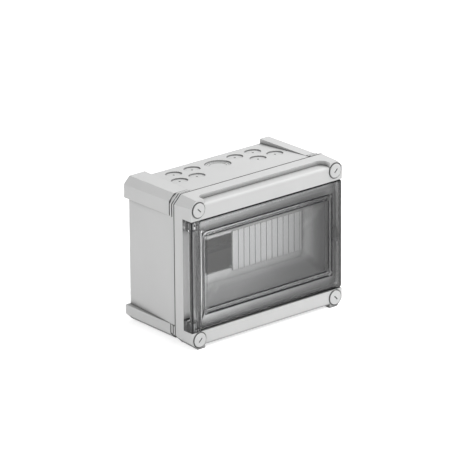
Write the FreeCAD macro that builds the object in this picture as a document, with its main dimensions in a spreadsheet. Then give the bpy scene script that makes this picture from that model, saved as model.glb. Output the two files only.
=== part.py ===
import FreeCAD, Part
import math
import os
import Sketcher

# Surface-mounted distribution box: a drafted base with four corner pillars, a hooded cover held by
# four quarter-turn closures, and a smoked door hinged on the left over a bay for modular devices.
# X runs to the right, Y from the front to the wall, Z up. The origin is the middle of the footprint.

document = FreeCAD.newDocument("DistributionBox")
sheet = document.addObject("Spreadsheet::Sheet", "Sizes")

driving_sizes = {
    # overall
    "box_width": 240.0,
    "box_height": 190.0,
    "body_depth": 130.3,       # front face of the cover to the wall
    "cover_depth": 32.0,       # front face of the cover to the joint with the base
    "wall": 3.0,
    "cover_wall": 3.2,
    "cut_rear": 11.0,          # corner cut of the cover at the joint
    "cut_rear_right": 5.0,     # the same on the right, where the pillars are narrower
    "cut_front": 8.0,          # corner cut of the cover at its front face
    # base
    "joint_inset": 1.5,        # base wall behind the outline at the joint
    "side_draft": 8.5,         # how far each side wall leans in from joint to wall
    "end_draft": 6.9,          # how far the top and bottom walls lean in
    "joint_gap": 0.8,          # shadow gap round the joint
    "joint_gap_depth": 1.3,
    "pillar_width": 31.2,      # the two pillars on the left
    "pillar_width_gain": 4.2,
    "right_pillar_width": 20.5,
    "pillar_rise_top": 28.4,
    "pillar_rise_bottom": 22.5,
    "pillar_inset": 2.1,
    "pillar_lean": 0.2,        # how far a pillar leans in from its front end to the wall
    "pillar_cut": 8.0,
    "pillar_cut_gain": 1.0,
    "right_pillar_cut": 4.0,
    "ring_width": 3.3,
    "groove_width": 2.7,
    "second_ring_width": 2.8,
    "groove_depth": 3.8,
    "neck_radius": 11.0,
    "ring_inset": 0.4,
    "second_ring_inset": 1.2,
    # closures
    "closure_inset_x": 11.3,
    "closure_inset_z": 12.15,
    "closure_proud": 1.7,
    "head_radius": 8.9,
    "head_seat_depth": 0.8,
    "ring_gap": 1.4,
    "shank_radius": 4.0,
    "running_gap": 0.05,
    "tongue_half": 5.6,
    "tongue_width": 4.4,
    "tongue_thick": 3.4,
    "tongue_gap": 0.3,
    "catch_plate": 2.5,
    "slot_length": 6.6,
    "slot_width": 1.3,
    "slot_depth": 1.3,
    "mark_radius": 0.8,
    "mark_depth": 1.6,
    "closure_seal_width": 1.8,
    "closure_seal_height": 1.8,
    # rebates along the top and bottom of the cover
    "rebate_end": 20.0,
    "rebate_depth_top": 15.0,
    "rebate_drop_top": 5.6,
    "rebate_round_top": 3.5,
    "rebate_depth_bottom": 27.0,
    "rebate_drop_bottom": 3.6,
    "rebate_round_bottom": 3.0,
    "rebate_corner": 9.0,
    # door
    "strip_top": 25.2,         # cover above the door
    "strip_bottom": 22.3,      # cover below the door
    "door_gap": 0.5,
    "door_depth": 12.0,
    "door_wall": 2.4,
    "seat_clearance": 1.5,     # back of the door to the cover face behind it
    "seat_wall": 2.5,
    "hinge_band": 12.0,
    "hinge_plate": 4.4,
    "roll_height": 3.5,
    "frame_radius": 4.0,
    "window_left": 20.5,
    "window_right": 15.5,
    "window_top": 21.0,
    "window_bottom": 21.4,
    "window_radius": 5.0,
    "window_setback": 1.0,
    "rib_depth": 11.4,
    "hinge_depth": 6.0,
    "hinge_radius": 11.7,
    "hinge_clearance": 0.3,
    "lug_height": 13.0,
    "pin_radius": 1.5,
    "pin_reach": 4.6,
    "pin_bore_spare": 0.4,
    "dimple_radius": 0.8,
    "dimple_depth": 0.8,
    "dimple_spacing": 4.0,
    "catch_height": 18.0,
    "catch_thick": 1.8,
    "catch_reach": 4.6,
    "catch_gap": 0.6,
    "door_seal_width": 2.8,
    "door_seal_gap": 0.3,
    # bay for the devices behind the door
    "bay_depth": 40.0,
    "bay_wall": 2.5,
    "bay_slope_side": 13.0,
    "bay_slope_end": 14.5,
    "bay_radius": 6.0,
    "opening_width": 162.0,
    "opening_height": 46.0,
    "opening_rise": 2.25,
    "half_module": 9.0,
    "strip_pitches": 12.0,
    "strip_overlap": 2.6,
    "strip_thick": 1.8,
    "strip_line_width": 0.7,
    "strip_line_depth": 0.6,
    "strip_lip": 5.0,
    "strip_lip_thick": 1.6,
    "strip_fit": 0.1,
    # gasket between the cover and the base
    "gasket_inset": 3.2,
    "gasket_width": 3.0,
    "gasket_height": 3.0,
    "rim_depth": 7.0,
    "rim_spare": 2.2,
    # knockouts in the top and bottom walls
    "knockout_radius": 10.5,
    "knockout_large_radius": 16.75,
    "knockout_depth": 1.5,
    "knockout_middle_radius": 14.0,
    "knockout_inner_radius": 11.0,
    "knockout_dot_radius": 1.4,
    "knockout_shift": 6.5,     # middle of the panel between the pillars
    "knockout_setback": 69.0,  # joint to the centre of the large knockout
    "knockout_row_back": 8.3,
    "knockout_row_front": 18.6,
    "knockout_back_near": 34.2,
    "knockout_back_far": 63.2,
    "knockout_front_near": 48.8,
    "knockout_front_far": 76.1,
    # inside the base
    "rail_length": 190.0,
    "rail_setback": 44.0,      # bay face to the front of the rail
    "rail_height": 35.0,
    "rail_channel": 25.0,
    "rail_thick": 1.0,
    "rail_drop": 7.5,
    "rail_slot_length": 15.0,
    "rail_slot_width": 5.2,
    "rail_slot_pitch": 25.0,
    "rail_post_x": 62.5,
    "rail_post_radius": 7.0,
    "rail_screw_radius": 2.0,
    "rail_screw_head": 4.0,
    "rail_screw_head_height": 2.4,
    "rail_screw_length": 12.0,
    "carrier_length": 132.0,
    "carrier_rise": 52.0,      # rail centre line to the middle of the terminal carrier
    "carrier_height": 18.0,
    "carrier_thick": 4.0,
    "carrier_setback": 40.0,
    "carrier_post_x": 30.0,
    "carrier_screw_length": 10.0,
    "bar_length": 56.0,
    "bar_gap": 8.0,
    "bar_height": 8.0,
    "bar_thick": 9.0,
    "bar_holes": 5.0,
    "bar_hole_radius": 2.4,
    "bar_screw_radius": 2.2,
    "bar_screw_proud": 1.2,
    "bar_fence": 1.6,
    "fixing_x": 92.0,
    "fixing_z": 52.0,
    "fixing_radius": 2.6,
    "fixing_boss_radius": 7.5,
    "fixing_boss_height": 9.0,
    "plug_radius": 5.4,
    "plug_height": 3.0,
}

for row, (name, value) in enumerate(driving_sizes.items(), start=1):
    sheet.set(f"A{row}", name.replace("_", " "))
    sheet.set(f"B{row}", str(value))
    sheet.setAlias(f"B{row}", name)
document.recompute()


def sized(expression):
    """Writes a formula of size names as the document reads it."""
    text = str(expression)
    for name in sorted(driving_sizes, key=len, reverse=True):
        text = text.replace(f"<{name}>", f"Sizes.{name}")
    return text


def value(expression):
    return float(sheet.evalExpression(sized(expression)))


# Places that several pieces share, as formulas of the driving sizes.
front = "((<body_depth> - <closure_proud>) / 2)"
middle = "(<box_height> / 2)"
side = "(<box_width> / 2)"
joint = "<cover_depth>"
seat = "(<door_depth> + <seat_clearance>)"
door_low = "(<strip_bottom>)"
door_high = "(<box_height> - <strip_top>)"
window_x0 = f"(<window_left> - {side})"
window_x1 = f"({side} - <window_right>)"
window_z0 = f"({door_low} + <window_bottom>)"
window_z1 = f"({door_high} - <window_top>)"
window_mid_x = f"(({window_x0} + {window_x1}) / 2)"
opening_mid_z = f"(({window_z0} + {window_z1}) / 2 + <opening_rise>)"
hinge_x = f"(<hinge_band> / 2 - {side})"
rail_front = "(<bay_depth> + <rail_setback>)"
rail_back = f"({rail_front} + <rail_drop>)"
inner_back = "(<body_depth> - <wall>)"
ring_1 = f"({joint} + <joint_gap> + <ring_width>)"
ring_2 = f"({ring_1} + <groove_width>)"
ring_3 = f"({ring_2} + <second_ring_width>)"
pillar_start = f"({ring_3} + <groove_width>)"
bore = "(<shank_radius> + <running_gap>)"
tongue_front = f"({joint} + <catch_plate> + <tongue_gap>)"
tongue_back = f"({tongue_front} + <tongue_thick>)"
corners = [(-1, 1), (1, 1), (-1, -1), (1, -1)]
corner_names = {(-1, 1): "top_left", (1, 1): "top_right", (-1, -1): "bottom_left", (1, -1): "bottom_right"}


def at_depth(depth):
    """Y of a place that lies the given depth behind the front face."""
    return f"(({depth}) - {front})"


def new_body(name):
    body = document.addObject("PartDesign::Body", name)
    body.Label = name
    return body


def new_sketch(body, name, role, offset):
    sketch = body.newObject("Sketcher::SketchObject", f"{body.Name}_{name}")
    plane = next(f for f in body.Origin.OriginFeatures if f.Role == role)
    sketch.AttachmentSupport = [(plane, "")]
    sketch.MapMode = "FlatFace"
    sketch.setExpression("AttachmentOffset.Base.z", sized(offset))
    return sketch


def front_sketch(body, name, depth):
    """A sketch seen from the front, in X and Z, the given depth behind the front face."""
    return new_sketch(body, name, "XZ_Plane", f"{front} - ({depth})")


def add_loop(sketch, points, arcs=None):
    """Adds a closed outline, each corner tied to its formulas; arcs maps a side to its radius."""
    arcs = arcs or {}
    places = [(value(u), value(v)) for u, v in points]
    first = sketch.GeometryCount
    count = len(points)
    ends = []
    for i, start in enumerate(places):
        stop = places[(i + 1) % count]
        if i in arcs:
            radius = value(arcs[i].lstrip("-"))
            inward = arcs[i].startswith("-")
            if inward:
                start, stop = stop, start
            chord = math.dist(start, stop)
            rise = math.sqrt(max(radius**2 - chord**2 / 4, 0.0))
            across = ((start[1] - stop[1]) / chord, (stop[0] - start[0]) / chord)
            centre = [(a + b) / 2 + n * rise for a, b, n in zip(start, stop, across)]
            angles = [math.atan2(p[1] - centre[1], p[0] - centre[0]) for p in (start, stop)]
            if angles[1] < angles[0]:
                angles[1] += 2 * math.pi
            circle = Part.Circle(FreeCAD.Vector(*centre, 0), FreeCAD.Vector(0, 0, 1), radius)
            sketch.addGeometry(Part.ArcOfCircle(circle, *angles), False)
            ends.append((2, 1) if inward else (1, 2))
        else:
            line = Part.LineSegment(FreeCAD.Vector(*start, 0), FreeCAD.Vector(*stop, 0))
            sketch.addGeometry(line, False)
            ends.append((1, 2))
    for i in range(count):
        after = (i + 1) % count
        join = ("Coincident", first + i, ends[i][1], first + after, ends[after][0])
        sketch.addConstraint(Sketcher.Constraint(*join))
        for kind, formula, place in zip(("DistanceX", "DistanceY"), points[i], places[i]):
            tie(sketch, Sketcher.Constraint(kind, first + i, ends[i][0], place), formula)
        if i in arcs:
            radius = arcs[i].lstrip("-")
            tie(sketch, Sketcher.Constraint("Radius", first + i, value(radius)), radius)


def add_circle(sketch, u, v, radius):
    place = FreeCAD.Vector(value(u), value(v), 0)
    circle = Part.Circle(place, FreeCAD.Vector(0, 0, 1), value(radius))
    index = sketch.addGeometry(circle, False)
    tie(sketch, Sketcher.Constraint("DistanceX", index, 3, place.x), u)
    tie(sketch, Sketcher.Constraint("DistanceY", index, 3, place.y), v)
    tie(sketch, Sketcher.Constraint("Radius", index, value(radius)), radius)


def tie(sketch, constraint, formula):
    index = sketch.addConstraint(constraint)
    sketch.setExpression(f"Constraints[{index}]", sized(formula))


def rectangle(x0, x1, z0, z1):
    return [(x0, z0), (x1, z0), (x1, z1), (x0, z1)]


def add_rounded(sketch, x0, x1, z0, z1, radius):
    points = [
        (f"{x0} + {radius}", z0), (f"{x1} - {radius}", z0),
        (x1, f"{z0} + {radius}"), (x1, f"{z1} - {radius}"),
        (f"{x1} - {radius}", z1), (f"{x0} + {radius}", z1),
        (x0, f"{z1} - {radius}"), (x0, f"{z0} + {radius}"),
    ]
    add_loop(sketch, points, {1: radius, 3: radius, 5: radius, 7: radius})


def octagon(inset, cut, cut_right):
    """The box's outline with its corners cut, the given inset inside it."""
    x = f"({side} - ({inset}))"
    low = f"({inset})"
    high = f"(<box_height> - ({inset}))"
    return [
        (f"-{x} + {cut}", low), (f"{x} - {cut_right}", low),
        (x, f"{low} + {cut_right}"), (x, f"{high} - {cut_right}"),
        (f"{x} - {cut_right}", high), (f"-{x} + {cut}", high),
        (f"-{x}", f"{high} - {cut}"), (f"-{x}", f"{low} + {cut}"),
    ]


def pillar_reach(hand):
    """Width of the pillars on the left (-1) or the right (+1)."""
    return "<pillar_width>" if hand < 0 else "<right_pillar_width>"


def notched(inset, notch, inset_low=None, inset_high=None):
    """The sealed area's outline: the box's outline less its four corner columns."""
    x = f"({side} - ({inset}))"
    left = f"({pillar_reach(-1)} + ({notch}) - {side})"
    right = f"({side} - {pillar_reach(1)} - ({notch}))"
    low = f"({inset_low or inset})"
    high = f"(<box_height> - ({inset_high or inset}))"
    step_low = f"(<pillar_rise_bottom> + ({notch}))"
    step_high = f"(<box_height> - <pillar_rise_top> - ({notch}))"
    return [
        (left, low), (right, low), (right, step_low), (x, step_low),
        (x, step_high), (right, step_high), (right, high), (left, high),
        (left, step_high), (f"-{x}", step_high), (f"-{x}", step_low), (left, step_low),
    ]


def finish_feature(body, kind, name, profile, **formulas):
    """Adds a feature on a profile and ties its lengths to formulas."""
    feature = body.newObject(f"PartDesign::{kind}", f"{body.Name}_{name}")
    feature.Profile = profile
    feature.Refine = False
    for key, formula in formulas.items():
        feature.setExpression(key, sized(formula))
    return feature


def pad_back(body, name, profile, length):
    """Material from a front sketch towards the wall."""
    pad = finish_feature(body, "Pad", name, profile, Length=length)
    pad.Reversed = True
    return pad


def cut_back(body, name, profile, length):
    """A cut from a front sketch towards the wall."""
    return finish_feature(body, "Pocket", name, profile, Length=length)


def cut_forward(body, name, profile, length):
    """A cut from a front sketch towards the front."""
    pocket = finish_feature(body, "Pocket", name, profile, Length=length)
    pocket.Reversed = True
    return pocket


def loft(body, name, sketches, additive=True):
    kind = "AdditiveLoft" if additive else "SubtractiveLoft"
    feature = finish_feature(body, kind, name, sketches[0])
    feature.Sections = sketches[1:]
    return feature


def edges_on(shape, test):
    edges = enumerate(shape.Edges, start=1)
    return [f"Edge{i}" for i, edge in edges if all(test(v.Point) for v in edge.Vertexes)]


def corner_x(sign, inset):
    return f"({side} - ({inset})) * ({sign})"


def corner_z(sign, inset):
    """Height of a place the given distance inside the top (+1) or bottom (-1) of the outline."""
    return f"({middle} + ({middle} - ({inset})) * ({sign}))"


def closure_place(corner):
    return corner_x(corner[0], "<closure_inset_x>"), corner_z(corner[1], "<closure_inset_z>")


def pillar_rise(corner):
    return "<pillar_rise_top>" if corner[1] > 0 else "<pillar_rise_bottom>"


def pillar_outline(corner, inset, cut, width, rise):
    """One corner pillar's section, with its outer corner cut."""
    sx, sz = corner
    points = [
        (corner_x(sx, width), corner_z(sz, inset)),
        (corner_x(sx, f"{inset} + {cut}"), corner_z(sz, inset)),
        (corner_x(sx, inset), corner_z(sz, f"{inset} + {cut}")),
        (corner_x(sx, inset), corner_z(sz, rise)),
        (corner_x(sx, width), corner_z(sz, rise)),
    ]
    return points if sx * sz < 0 else points[::-1]


def neck_outline(corner, inset, width, rise):
    """The section between two rings, with its outer corner rounded, and the side that is an arc."""
    radius = "<neck_radius>"
    points = pillar_outline(corner, inset, radius, width, rise)
    arc_side = 1 if corner[0] * corner[1] < 0 else 2
    return points, {arc_side: radius}


def make_base():
    body = new_body("base_box")
    sketches = []
    for name, depth, side_inset, end_inset in (
        ("joint_outline", joint, "<joint_inset>", "<joint_inset>"),
        ("wall_outline", "<body_depth>", "<joint_inset> + <side_draft>", "<joint_inset> + <end_draft>"),
    ):
        sketch = front_sketch(body, name, depth)
        x = f"({side} - ({side_inset}))"
        add_rounded(sketch, f"-{x}", x, f"({end_inset})", f"(<box_height> - ({end_inset}))", "<wall>")
        sketches.append(sketch)
    loft(body, "shell", sketches)
    ends = front_sketch(body, "corner_notches", joint)
    for sx, sz in corners:
        xs = (corner_x(sx, pillar_reach(sx)), corner_x(sx, "-1"))
        zs = (corner_z(sz, pillar_rise((sx, sz))), corner_z(sz, "-1"))
        add_loop(ends, rectangle(*xs[::sx], *zs[::sz]))
    cut_back(body, "corner_notch", ends, f"<body_depth> - {joint}")

    # The hollow leans in with the walls and stops a wall short of the back.
    share = f"(({inner_back} - {joint}) / (<body_depth> - {joint}))"
    sketches = []
    for name, depth, lean in (("hollow_front", joint, "0"), ("hollow_back", inner_back, share)):
        sketch = front_sketch(body, name, depth)
        x = f"({side} - <joint_inset> - <wall> - <side_draft> * {lean})"
        low = f"(<joint_inset> + <wall> + <end_draft> * {lean})"
        add_rounded(sketch, f"-{x}", x, low, f"(<box_height> - {low})", "<wall>")
        sketches.append(sketch)
    loft(body, "hollow", sketches, additive=False)

    for corner in corners:
        add_pillar(body, corner)
    add_rings(body)

    # A ledge round the mouth carries the gasket.
    rim = front_sketch(body, "rim", joint)
    add_loop(rim, notched("<joint_inset>", "-1"))
    add_loop(rim, notched("<gasket_inset> + <gasket_width> + 1", "<gasket_inset> + <gasket_width> + 1"))
    pad_back(body, "gasket_ledge", rim, "<wall>")
    gap = front_sketch(body, "joint_gap", joint)
    add_loop(gap, octagon("-1", "0.5", "0.5"))
    reach = "(<joint_inset> + <joint_gap_depth>)"
    x, high = f"({side} - {reach})", f"(<box_height> - {reach})"
    add_rounded(gap, f"-{x}", x, reach, high, "<wall>")
    cut_back(body, "joint_gap_cut", gap, "<joint_gap>")

    cut_closure_sockets(body)
    add_knockouts(body, 1)
    add_knockouts(body, -1)

    # Posts for the rail and the terminal carrier, and bosses round the wall fixings.
    carrier_back = "(<bay_depth> + <carrier_setback> + <carrier_thick>)"
    carrier_z = f"({opening_mid_z} + <carrier_rise>)"
    for name, x, z, top, bore_depth in (
        ("rail", "<rail_post_x>", opening_mid_z, rail_back, "<rail_screw_length>"),
        ("carrier", "<carrier_post_x>", carrier_z, carrier_back, "<carrier_screw_length>"),
    ):
        posts = front_sketch(body, f"{name}_posts", top)
        holes = front_sketch(body, f"{name}_post_holes", top)
        for sign in (-1, 1):
            add_circle(posts, f"{x} * ({sign})", z, "<rail_post_radius>")
            add_circle(holes, f"{x} * ({sign})", z, "<rail_screw_radius>")
        pad_back(body, f"{name}_post", posts, f"{inner_back} - {top} + 0.5")
        cut_back(body, f"{name}_post_hole", holes, bore_depth)
    boss_front = f"({inner_back} - <fixing_boss_height>)"
    bosses = front_sketch(body, "fixing_bosses", boss_front)
    counterbores = front_sketch(body, "plug_seats", boss_front)
    holes = front_sketch(body, "fixing_holes", boss_front)
    for sx, sz in corners:
        place = (f"<fixing_x> * ({sx})", f"{middle} + <fixing_z> * ({sz})")
        add_circle(bosses, *place, "<fixing_boss_radius>")
        add_circle(counterbores, *place, "<plug_radius>")
        add_circle(holes, *place, "<fixing_radius>")
    pad_back(body, "fixing_boss", bosses, "<fixing_boss_height> + 0.5")
    cut_back(body, "plug_seat", counterbores, "<plug_height>")
    cut_back(body, "fixing_hole", holes, "<fixing_boss_height> + <wall> + 1")
    return body


def add_pillar(body, corner):
    """A proud corner pillar, a little wider at the wall than in front."""
    name = corner_names[corner]
    rise = pillar_rise(corner)
    sections = []
    for end, depth, share in (("front", pillar_start, "0"), ("back", "<body_depth>", "1")):
        sketch = front_sketch(body, f"{name}_pillar_{end}", depth)
        inset = f"(<pillar_inset> + <pillar_lean> * {share})"
        cut = "<right_pillar_cut>"
        width = pillar_reach(corner[0])
        if corner[0] < 0:
            cut = f"(<pillar_cut> + <pillar_cut_gain> * {share})"
            width = f"({width} + <pillar_width_gain> * {share})"
        add_loop(sketch, pillar_outline(corner, inset, cut, width, rise))
        sections.append(sketch)
    loft(body, f"{name}_pillar", sections)


def add_rings(body):
    """Two turned rings at the front end of every pillar, and the coring of the pillars from the back."""
    neck = front_sketch(body, "necks", joint)
    rings = [
        (front_sketch(body, "rings", f"{joint} + <joint_gap>"), "<ring_width>", "<ring_inset>"),
        (front_sketch(body, "second_rings", ring_2), "<second_ring_width>", "<second_ring_inset>"),
    ]
    core = front_sketch(body, "cores", "<body_depth>")
    for corner in corners:
        rise = pillar_rise(corner)
        width = pillar_reach(corner[0])
        cut = "<cut_rear>" if corner[0] < 0 else "<cut_rear_right>"
        core_cut = "<pillar_cut>" if corner[0] < 0 else "<right_pillar_cut>"
        add_loop(neck, *neck_outline(corner, "<groove_depth>", width, rise))
        for sketch, _, inset in rings:
            add_loop(sketch, pillar_outline(corner, inset, cut, width, rise))
        inset = "(<pillar_inset> + <wall>)"
        inner = (f"({width} - <wall>)", f"{rise} - <wall>")
        add_loop(core, pillar_outline(corner, inset, f"{core_cut} + 1", *inner))
    pad_back(body, "neck", neck, f"{pillar_start} - {joint}")
    for sketch, thick, _ in rings:
        pad_back(body, f"{sketch.Name[len(body.Name) + 1:]}_pad", sketch, thick)
    cut_forward(body, "coring", core, f"<body_depth> - {pillar_start} - <wall>")


def cut_closure_sockets(body):
    """Keyholes in the pillars' front plates, and the chambers behind them where the tongues turn."""
    holes = front_sketch(body, "socket_holes", joint)
    slots = front_sketch(body, "keyholes", joint)
    chambers = front_sketch(body, "chambers", f"{joint} + <catch_plate>")
    half = "(<tongue_half> + <tongue_gap>)"
    sweep = "(sqrt(<tongue_half> * <tongue_half> + <tongue_width> * <tongue_width> / 4) + <tongue_gap>)"
    across = "(<tongue_width> / 2 + <tongue_gap>)"
    for corner in corners:
        x, z = closure_place(corner)
        add_circle(holes, x, z, bore)
        add_loop(slots, turned_outline(x, z, half, across, -corner[0] * corner[1]))
        add_circle(chambers, x, z, sweep)
    cut_back(body, "socket_hole", holes, "<catch_plate> + 1")
    cut_back(body, "keyhole", slots, "<catch_plate> + 1")
    cut_back(body, "chamber", chambers, "<tongue_thick> + 2 * <tongue_gap>")


def add_knockouts(body, sign):
    """Shallow cable-entry knockouts, sunk square to the leaning top (+1) or bottom (-1) wall."""
    name = "top" if sign > 0 else "bottom"
    lean = "atan(<end_draft> / (<body_depth> - <cover_depth>))"
    # Distances along the wall, measured from the joint.
    slant = f"/ cos({lean})"
    outline = {
        "discs": [("0", "0", "<knockout_large_radius>")],
        "steps": [("0", "0", "<knockout_middle_radius>")],
        "cores": [("0", "0", "<knockout_inner_radius>")],
    }
    for row, near, far in (
        ("<knockout_row_back>", "<knockout_back_near>", "<knockout_back_far>"),
        ("-<knockout_row_front>", "<knockout_front_near>", "<knockout_front_far>"),
    ):
        for reach in (near, far):
            for hand in (-1, 1):
                outline["discs"].append((f"{reach} * ({hand})", row, "<knockout_radius>"))
                outline["cores"].append((f"{reach} * ({hand})", row, "<knockout_dot_radius>"))
    for level, (kind, circles) in enumerate(outline.items()):
        sketch = new_sketch(body, f"{name}_knockout_{kind}", "XY_Plane", corner_z(sign, "<joint_inset>"))
        sketch.setExpression("AttachmentOffset.Base.y", sized(at_depth(joint)))
        sketch.AttachmentOffset.Rotation = FreeCAD.Rotation(FreeCAD.Vector(1, 0, 0), 1)
        placement = sketch.AttachmentOffset
        placement.Rotation = FreeCAD.Rotation(FreeCAD.Vector(-sign, 0, 0), 1)
        sketch.AttachmentOffset = placement
        sketch.setExpression("AttachmentOffset.Rotation.Angle", sized(lean))
        for u, v, radius in circles:
            place = (f"<knockout_shift> + {u}", f"(<knockout_setback> + ({v})) {slant}")
            add_circle(sketch, *place, radius)
        depth = f"<knockout_depth> * {1 + 0.25 * level}"
        pocket = finish_feature(body, "Pocket", f"{name}_knockout_{kind}_cut", sketch, Length=depth)
        pocket.Reversed = sign < 0


def make_cover():
    body = new_body("front_cover")
    sketches = []
    for name, depth, *cuts in (
        ("front_outline", "0", "<cut_front>", "<cut_front>"),
        ("joint_outline", joint, "<cut_rear>", "<cut_rear_right>"),
    ):
        sketch = front_sketch(body, name, depth)
        add_loop(sketch, octagon("0", *cuts))
        sketches.append(sketch)
    loft(body, "hood", sketches)

    # Hollow behind the seat of the door, leaving a column at each corner for its closure.
    hollow = front_sketch(body, "hollow", joint)
    ends = [f"<rebate_drop_{end}> + <cover_wall>" for end in ("bottom", "top")]
    add_loop(hollow, notched("<cover_wall>", "<cover_wall>", *ends))
    cut_forward(body, "hollow_cut", hollow, f"{joint} - {seat} - <seat_wall>")
    for name, low, high in (
        ("lower", "<rebate_drop_bottom> + <cover_wall>", f"{door_low} - <cover_wall>"),
        ("upper", f"{door_high} + <cover_wall>", "<box_height> - <rebate_drop_top> - <cover_wall>"),
    ):
        strip = front_sketch(body, f"{name}_strip_hollow", f"{seat} + <seat_wall>")
        reach = f"({side} - <pillar_width> - <cover_wall>)"
        add_loop(strip, rectangle(f"-{reach}", reach, low, high))
        cut_forward(body, f"{name}_strip_cut", strip, f"{seat} + <seat_wall> - <cover_wall>")

    # Thickened rim with the groove that holds the gasket.
    rim = front_sketch(body, "rim", f"{joint} - <rim_depth>")
    add_loop(rim, notched("<cover_wall> - 1", "<cover_wall> - 1"))
    add_loop(rim, notched(*["<gasket_inset> + <gasket_width> + <rim_spare>"] * 2))
    pad_back(body, "rim_pad", rim, "<rim_depth>")
    groove = front_sketch(body, "gasket_groove", joint)
    add_gasket_ring(groove)
    cut_forward(body, "gasket_groove_cut", groove, "<gasket_height>")

    # Rebates between the corner bosses, along the top and the bottom of the front.
    for name, sign, depth, drop, rounding in (
        ("top", 1, "<rebate_depth_top>", "<rebate_drop_top>", "<rebate_round_top>"),
        ("bottom", -1, "<rebate_depth_bottom>", "<rebate_drop_bottom>", "<rebate_round_bottom>"),
    ):
        plan = new_sketch(body, f"{name}_rebate", "XY_Plane", corner_z(sign, drop))
        reach = f"({side} - <rebate_end>)"
        span = (f"-{reach}", reach, at_depth("-2 * <rebate_corner>"), at_depth(depth))
        add_rounded(plan, *span, "<rebate_corner>")
        rebate = finish_feature(body, "Pocket", f"{name}_rebate_cut", plan, Length=f"{drop} + 1")
        rebate.Reversed = sign > 0
        document.recompute()
        y, z = value(f"-{front}"), value(corner_z(sign, drop))
        fillet = body.newObject("PartDesign::Fillet", f"front_cover_{name}_rebate_round")
        fillet.Base = (rebate, edges_on(rebate.Shape, lambda p: abs(p.y - y) < 1e-4 and abs(p.z - z) < 1e-4))
        fillet.setExpression("Radius", sized(rounding))

    # The door lies in a recess across the whole front.
    recess = front_sketch(body, "door_recess", "0")
    add_loop(recess, rectangle(f"-{side} - 1", f"{side} + 1", door_low, door_high))
    cut_back(body, "door_recess_cut", recess, seat)

    # Hinge post behind the recess, scooped out round the hinge line.
    post = front_sketch(body, "hinge_post", seat)
    scoop = "(<hinge_radius> + <hinge_clearance>)"
    post_x1 = f"({hinge_x} + {scoop})"
    low, high = f"({door_low} - <cover_wall>)", f"({door_high} + <cover_wall>)"
    add_loop(post, rectangle(f"-{side}", post_x1, low, high))
    pad_back(body, "hinge_post_pad", post, f"<hinge_depth> + {scoop} + <seat_wall> - {seat}")
    hinge_plan = new_sketch(body, "hinge_scoop", "XY_Plane", door_low)
    add_circle(hinge_plan, hinge_x, at_depth("<hinge_depth>"), scoop)
    groove = finish_feature(body, "Pocket", "hinge_scoop_cut", hinge_plan, Length=f"{door_high} - {door_low}")
    groove.Reversed = True
    for name, level, towards in (("upper", door_high, True), ("lower", door_low, False)):
        plan = new_sketch(body, f"{name}_pin_hole", "XY_Plane", level)
        add_circle(plan, hinge_x, at_depth("<hinge_depth>"), "<pin_radius> + <running_gap>")
        length = "<pin_reach> + <pin_bore_spare>"
        hole = finish_feature(body, "Pocket", f"{name}_pin_hole_cut", plan, Length=length)
        hole.Reversed = towards

    # Bay: a sloping surround down to the plate that frames the devices.
    bay_tub(body, "bay_outside", "<bay_wall>", "<bay_depth> + <bay_wall>", True)
    bay_tub(body, "bay_inside", "0", "<bay_depth>", False)
    opening = front_sketch(body, "device_opening", "<bay_depth>")
    x0, x1, z0, z1 = opening_box()
    add_loop(opening, rectangle(x0, x1, z0, z1))
    cut_back(body, "device_opening_cut", opening, "<bay_wall> + 1")

    # Slot for the door's catch.
    slot = front_sketch(body, "catch_slot", seat)
    x0, x1, z0, z1 = catch_box()
    gap = "<catch_gap>"
    add_loop(slot, rectangle(f"{x0} - {gap}", f"{x1} + {gap}", f"{z0} - {gap}", f"{z1} + {gap}"))
    cut_back(body, "catch_slot_cut", slot, "<seat_wall> + 1")

    # Seats, bores and position marks of the four closures.
    seats = front_sketch(body, "closure_seats", "0")
    seals = front_sketch(body, "closure_seal_seats", "<head_seat_depth>")
    bores = front_sketch(body, "closure_bores", "0")
    marks = front_sketch(body, "closure_marks", "0")
    for corner in corners:
        x, z = closure_place(corner)
        add_circle(seats, x, z, "<head_radius> + <ring_gap>")
        add_circle(seals, x, z, f"{bore} + <closure_seal_width> + <running_gap>")
        add_circle(bores, x, z, bore)
        reach = "(<head_radius> + <mark_radius> + 0.1) * cos(45)"
        add_circle(marks, f"{x} + {reach} * ({corner[0]})", f"{z} + {reach} * ({corner[1]})", "<mark_radius>")
    cut_back(body, "closure_seat", seats, "<head_seat_depth>")
    cut_back(body, "closure_seal_seat", seals, "<closure_seal_height>")
    cut_back(body, "closure_bore", bores, f"{joint} + 1")
    cut_back(body, "closure_mark", marks, "<mark_depth>")
    return body


def bay_tub(body, name, grow, depth, additive):
    """The bay's surround, from the seat of the door to its back plate, grown outwards for its wall."""
    sections = []
    rib = "(<door_wall>)"
    for end, at, slope_x, slope_z, radius in (
        ("front", seat, "0", "0", "<window_radius>"),
        ("back", depth, "<bay_slope_side>", "<bay_slope_end>", "<bay_radius>"),
    ):
        sketch = front_sketch(body, f"{name}_{end}", at)
        add_rounded(
            sketch,
            f"({window_x0} + {rib} + {slope_x} - {grow})",
            f"({window_x1} - {rib} - {slope_x} + {grow})",
            f"({window_z0} + {rib} + {slope_z} - {grow})",
            f"({window_z1} - {rib} - {slope_z} + {grow})",
            f"({radius} + {grow})",
        )
        sections.append(sketch)
    loft(body, name, sections, additive)


def opening_box():
    half = "<opening_width> / 2"
    return (
        f"({window_mid_x} - {half})",
        f"({window_mid_x} + {half})",
        f"({opening_mid_z} - <opening_height> / 2)",
        f"({opening_mid_z} + <opening_height> / 2)",
    )


def catch_box():
    x1 = f"({side} - <window_right> / 2 + <catch_thick>)"
    mid_z = f"(({door_low} + {door_high}) / 2)"
    return (
        f"({x1} - <catch_thick>)",
        x1,
        f"({mid_z} - <catch_height> / 2)",
        f"({mid_z} + <catch_height> / 2)",
    )


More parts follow.
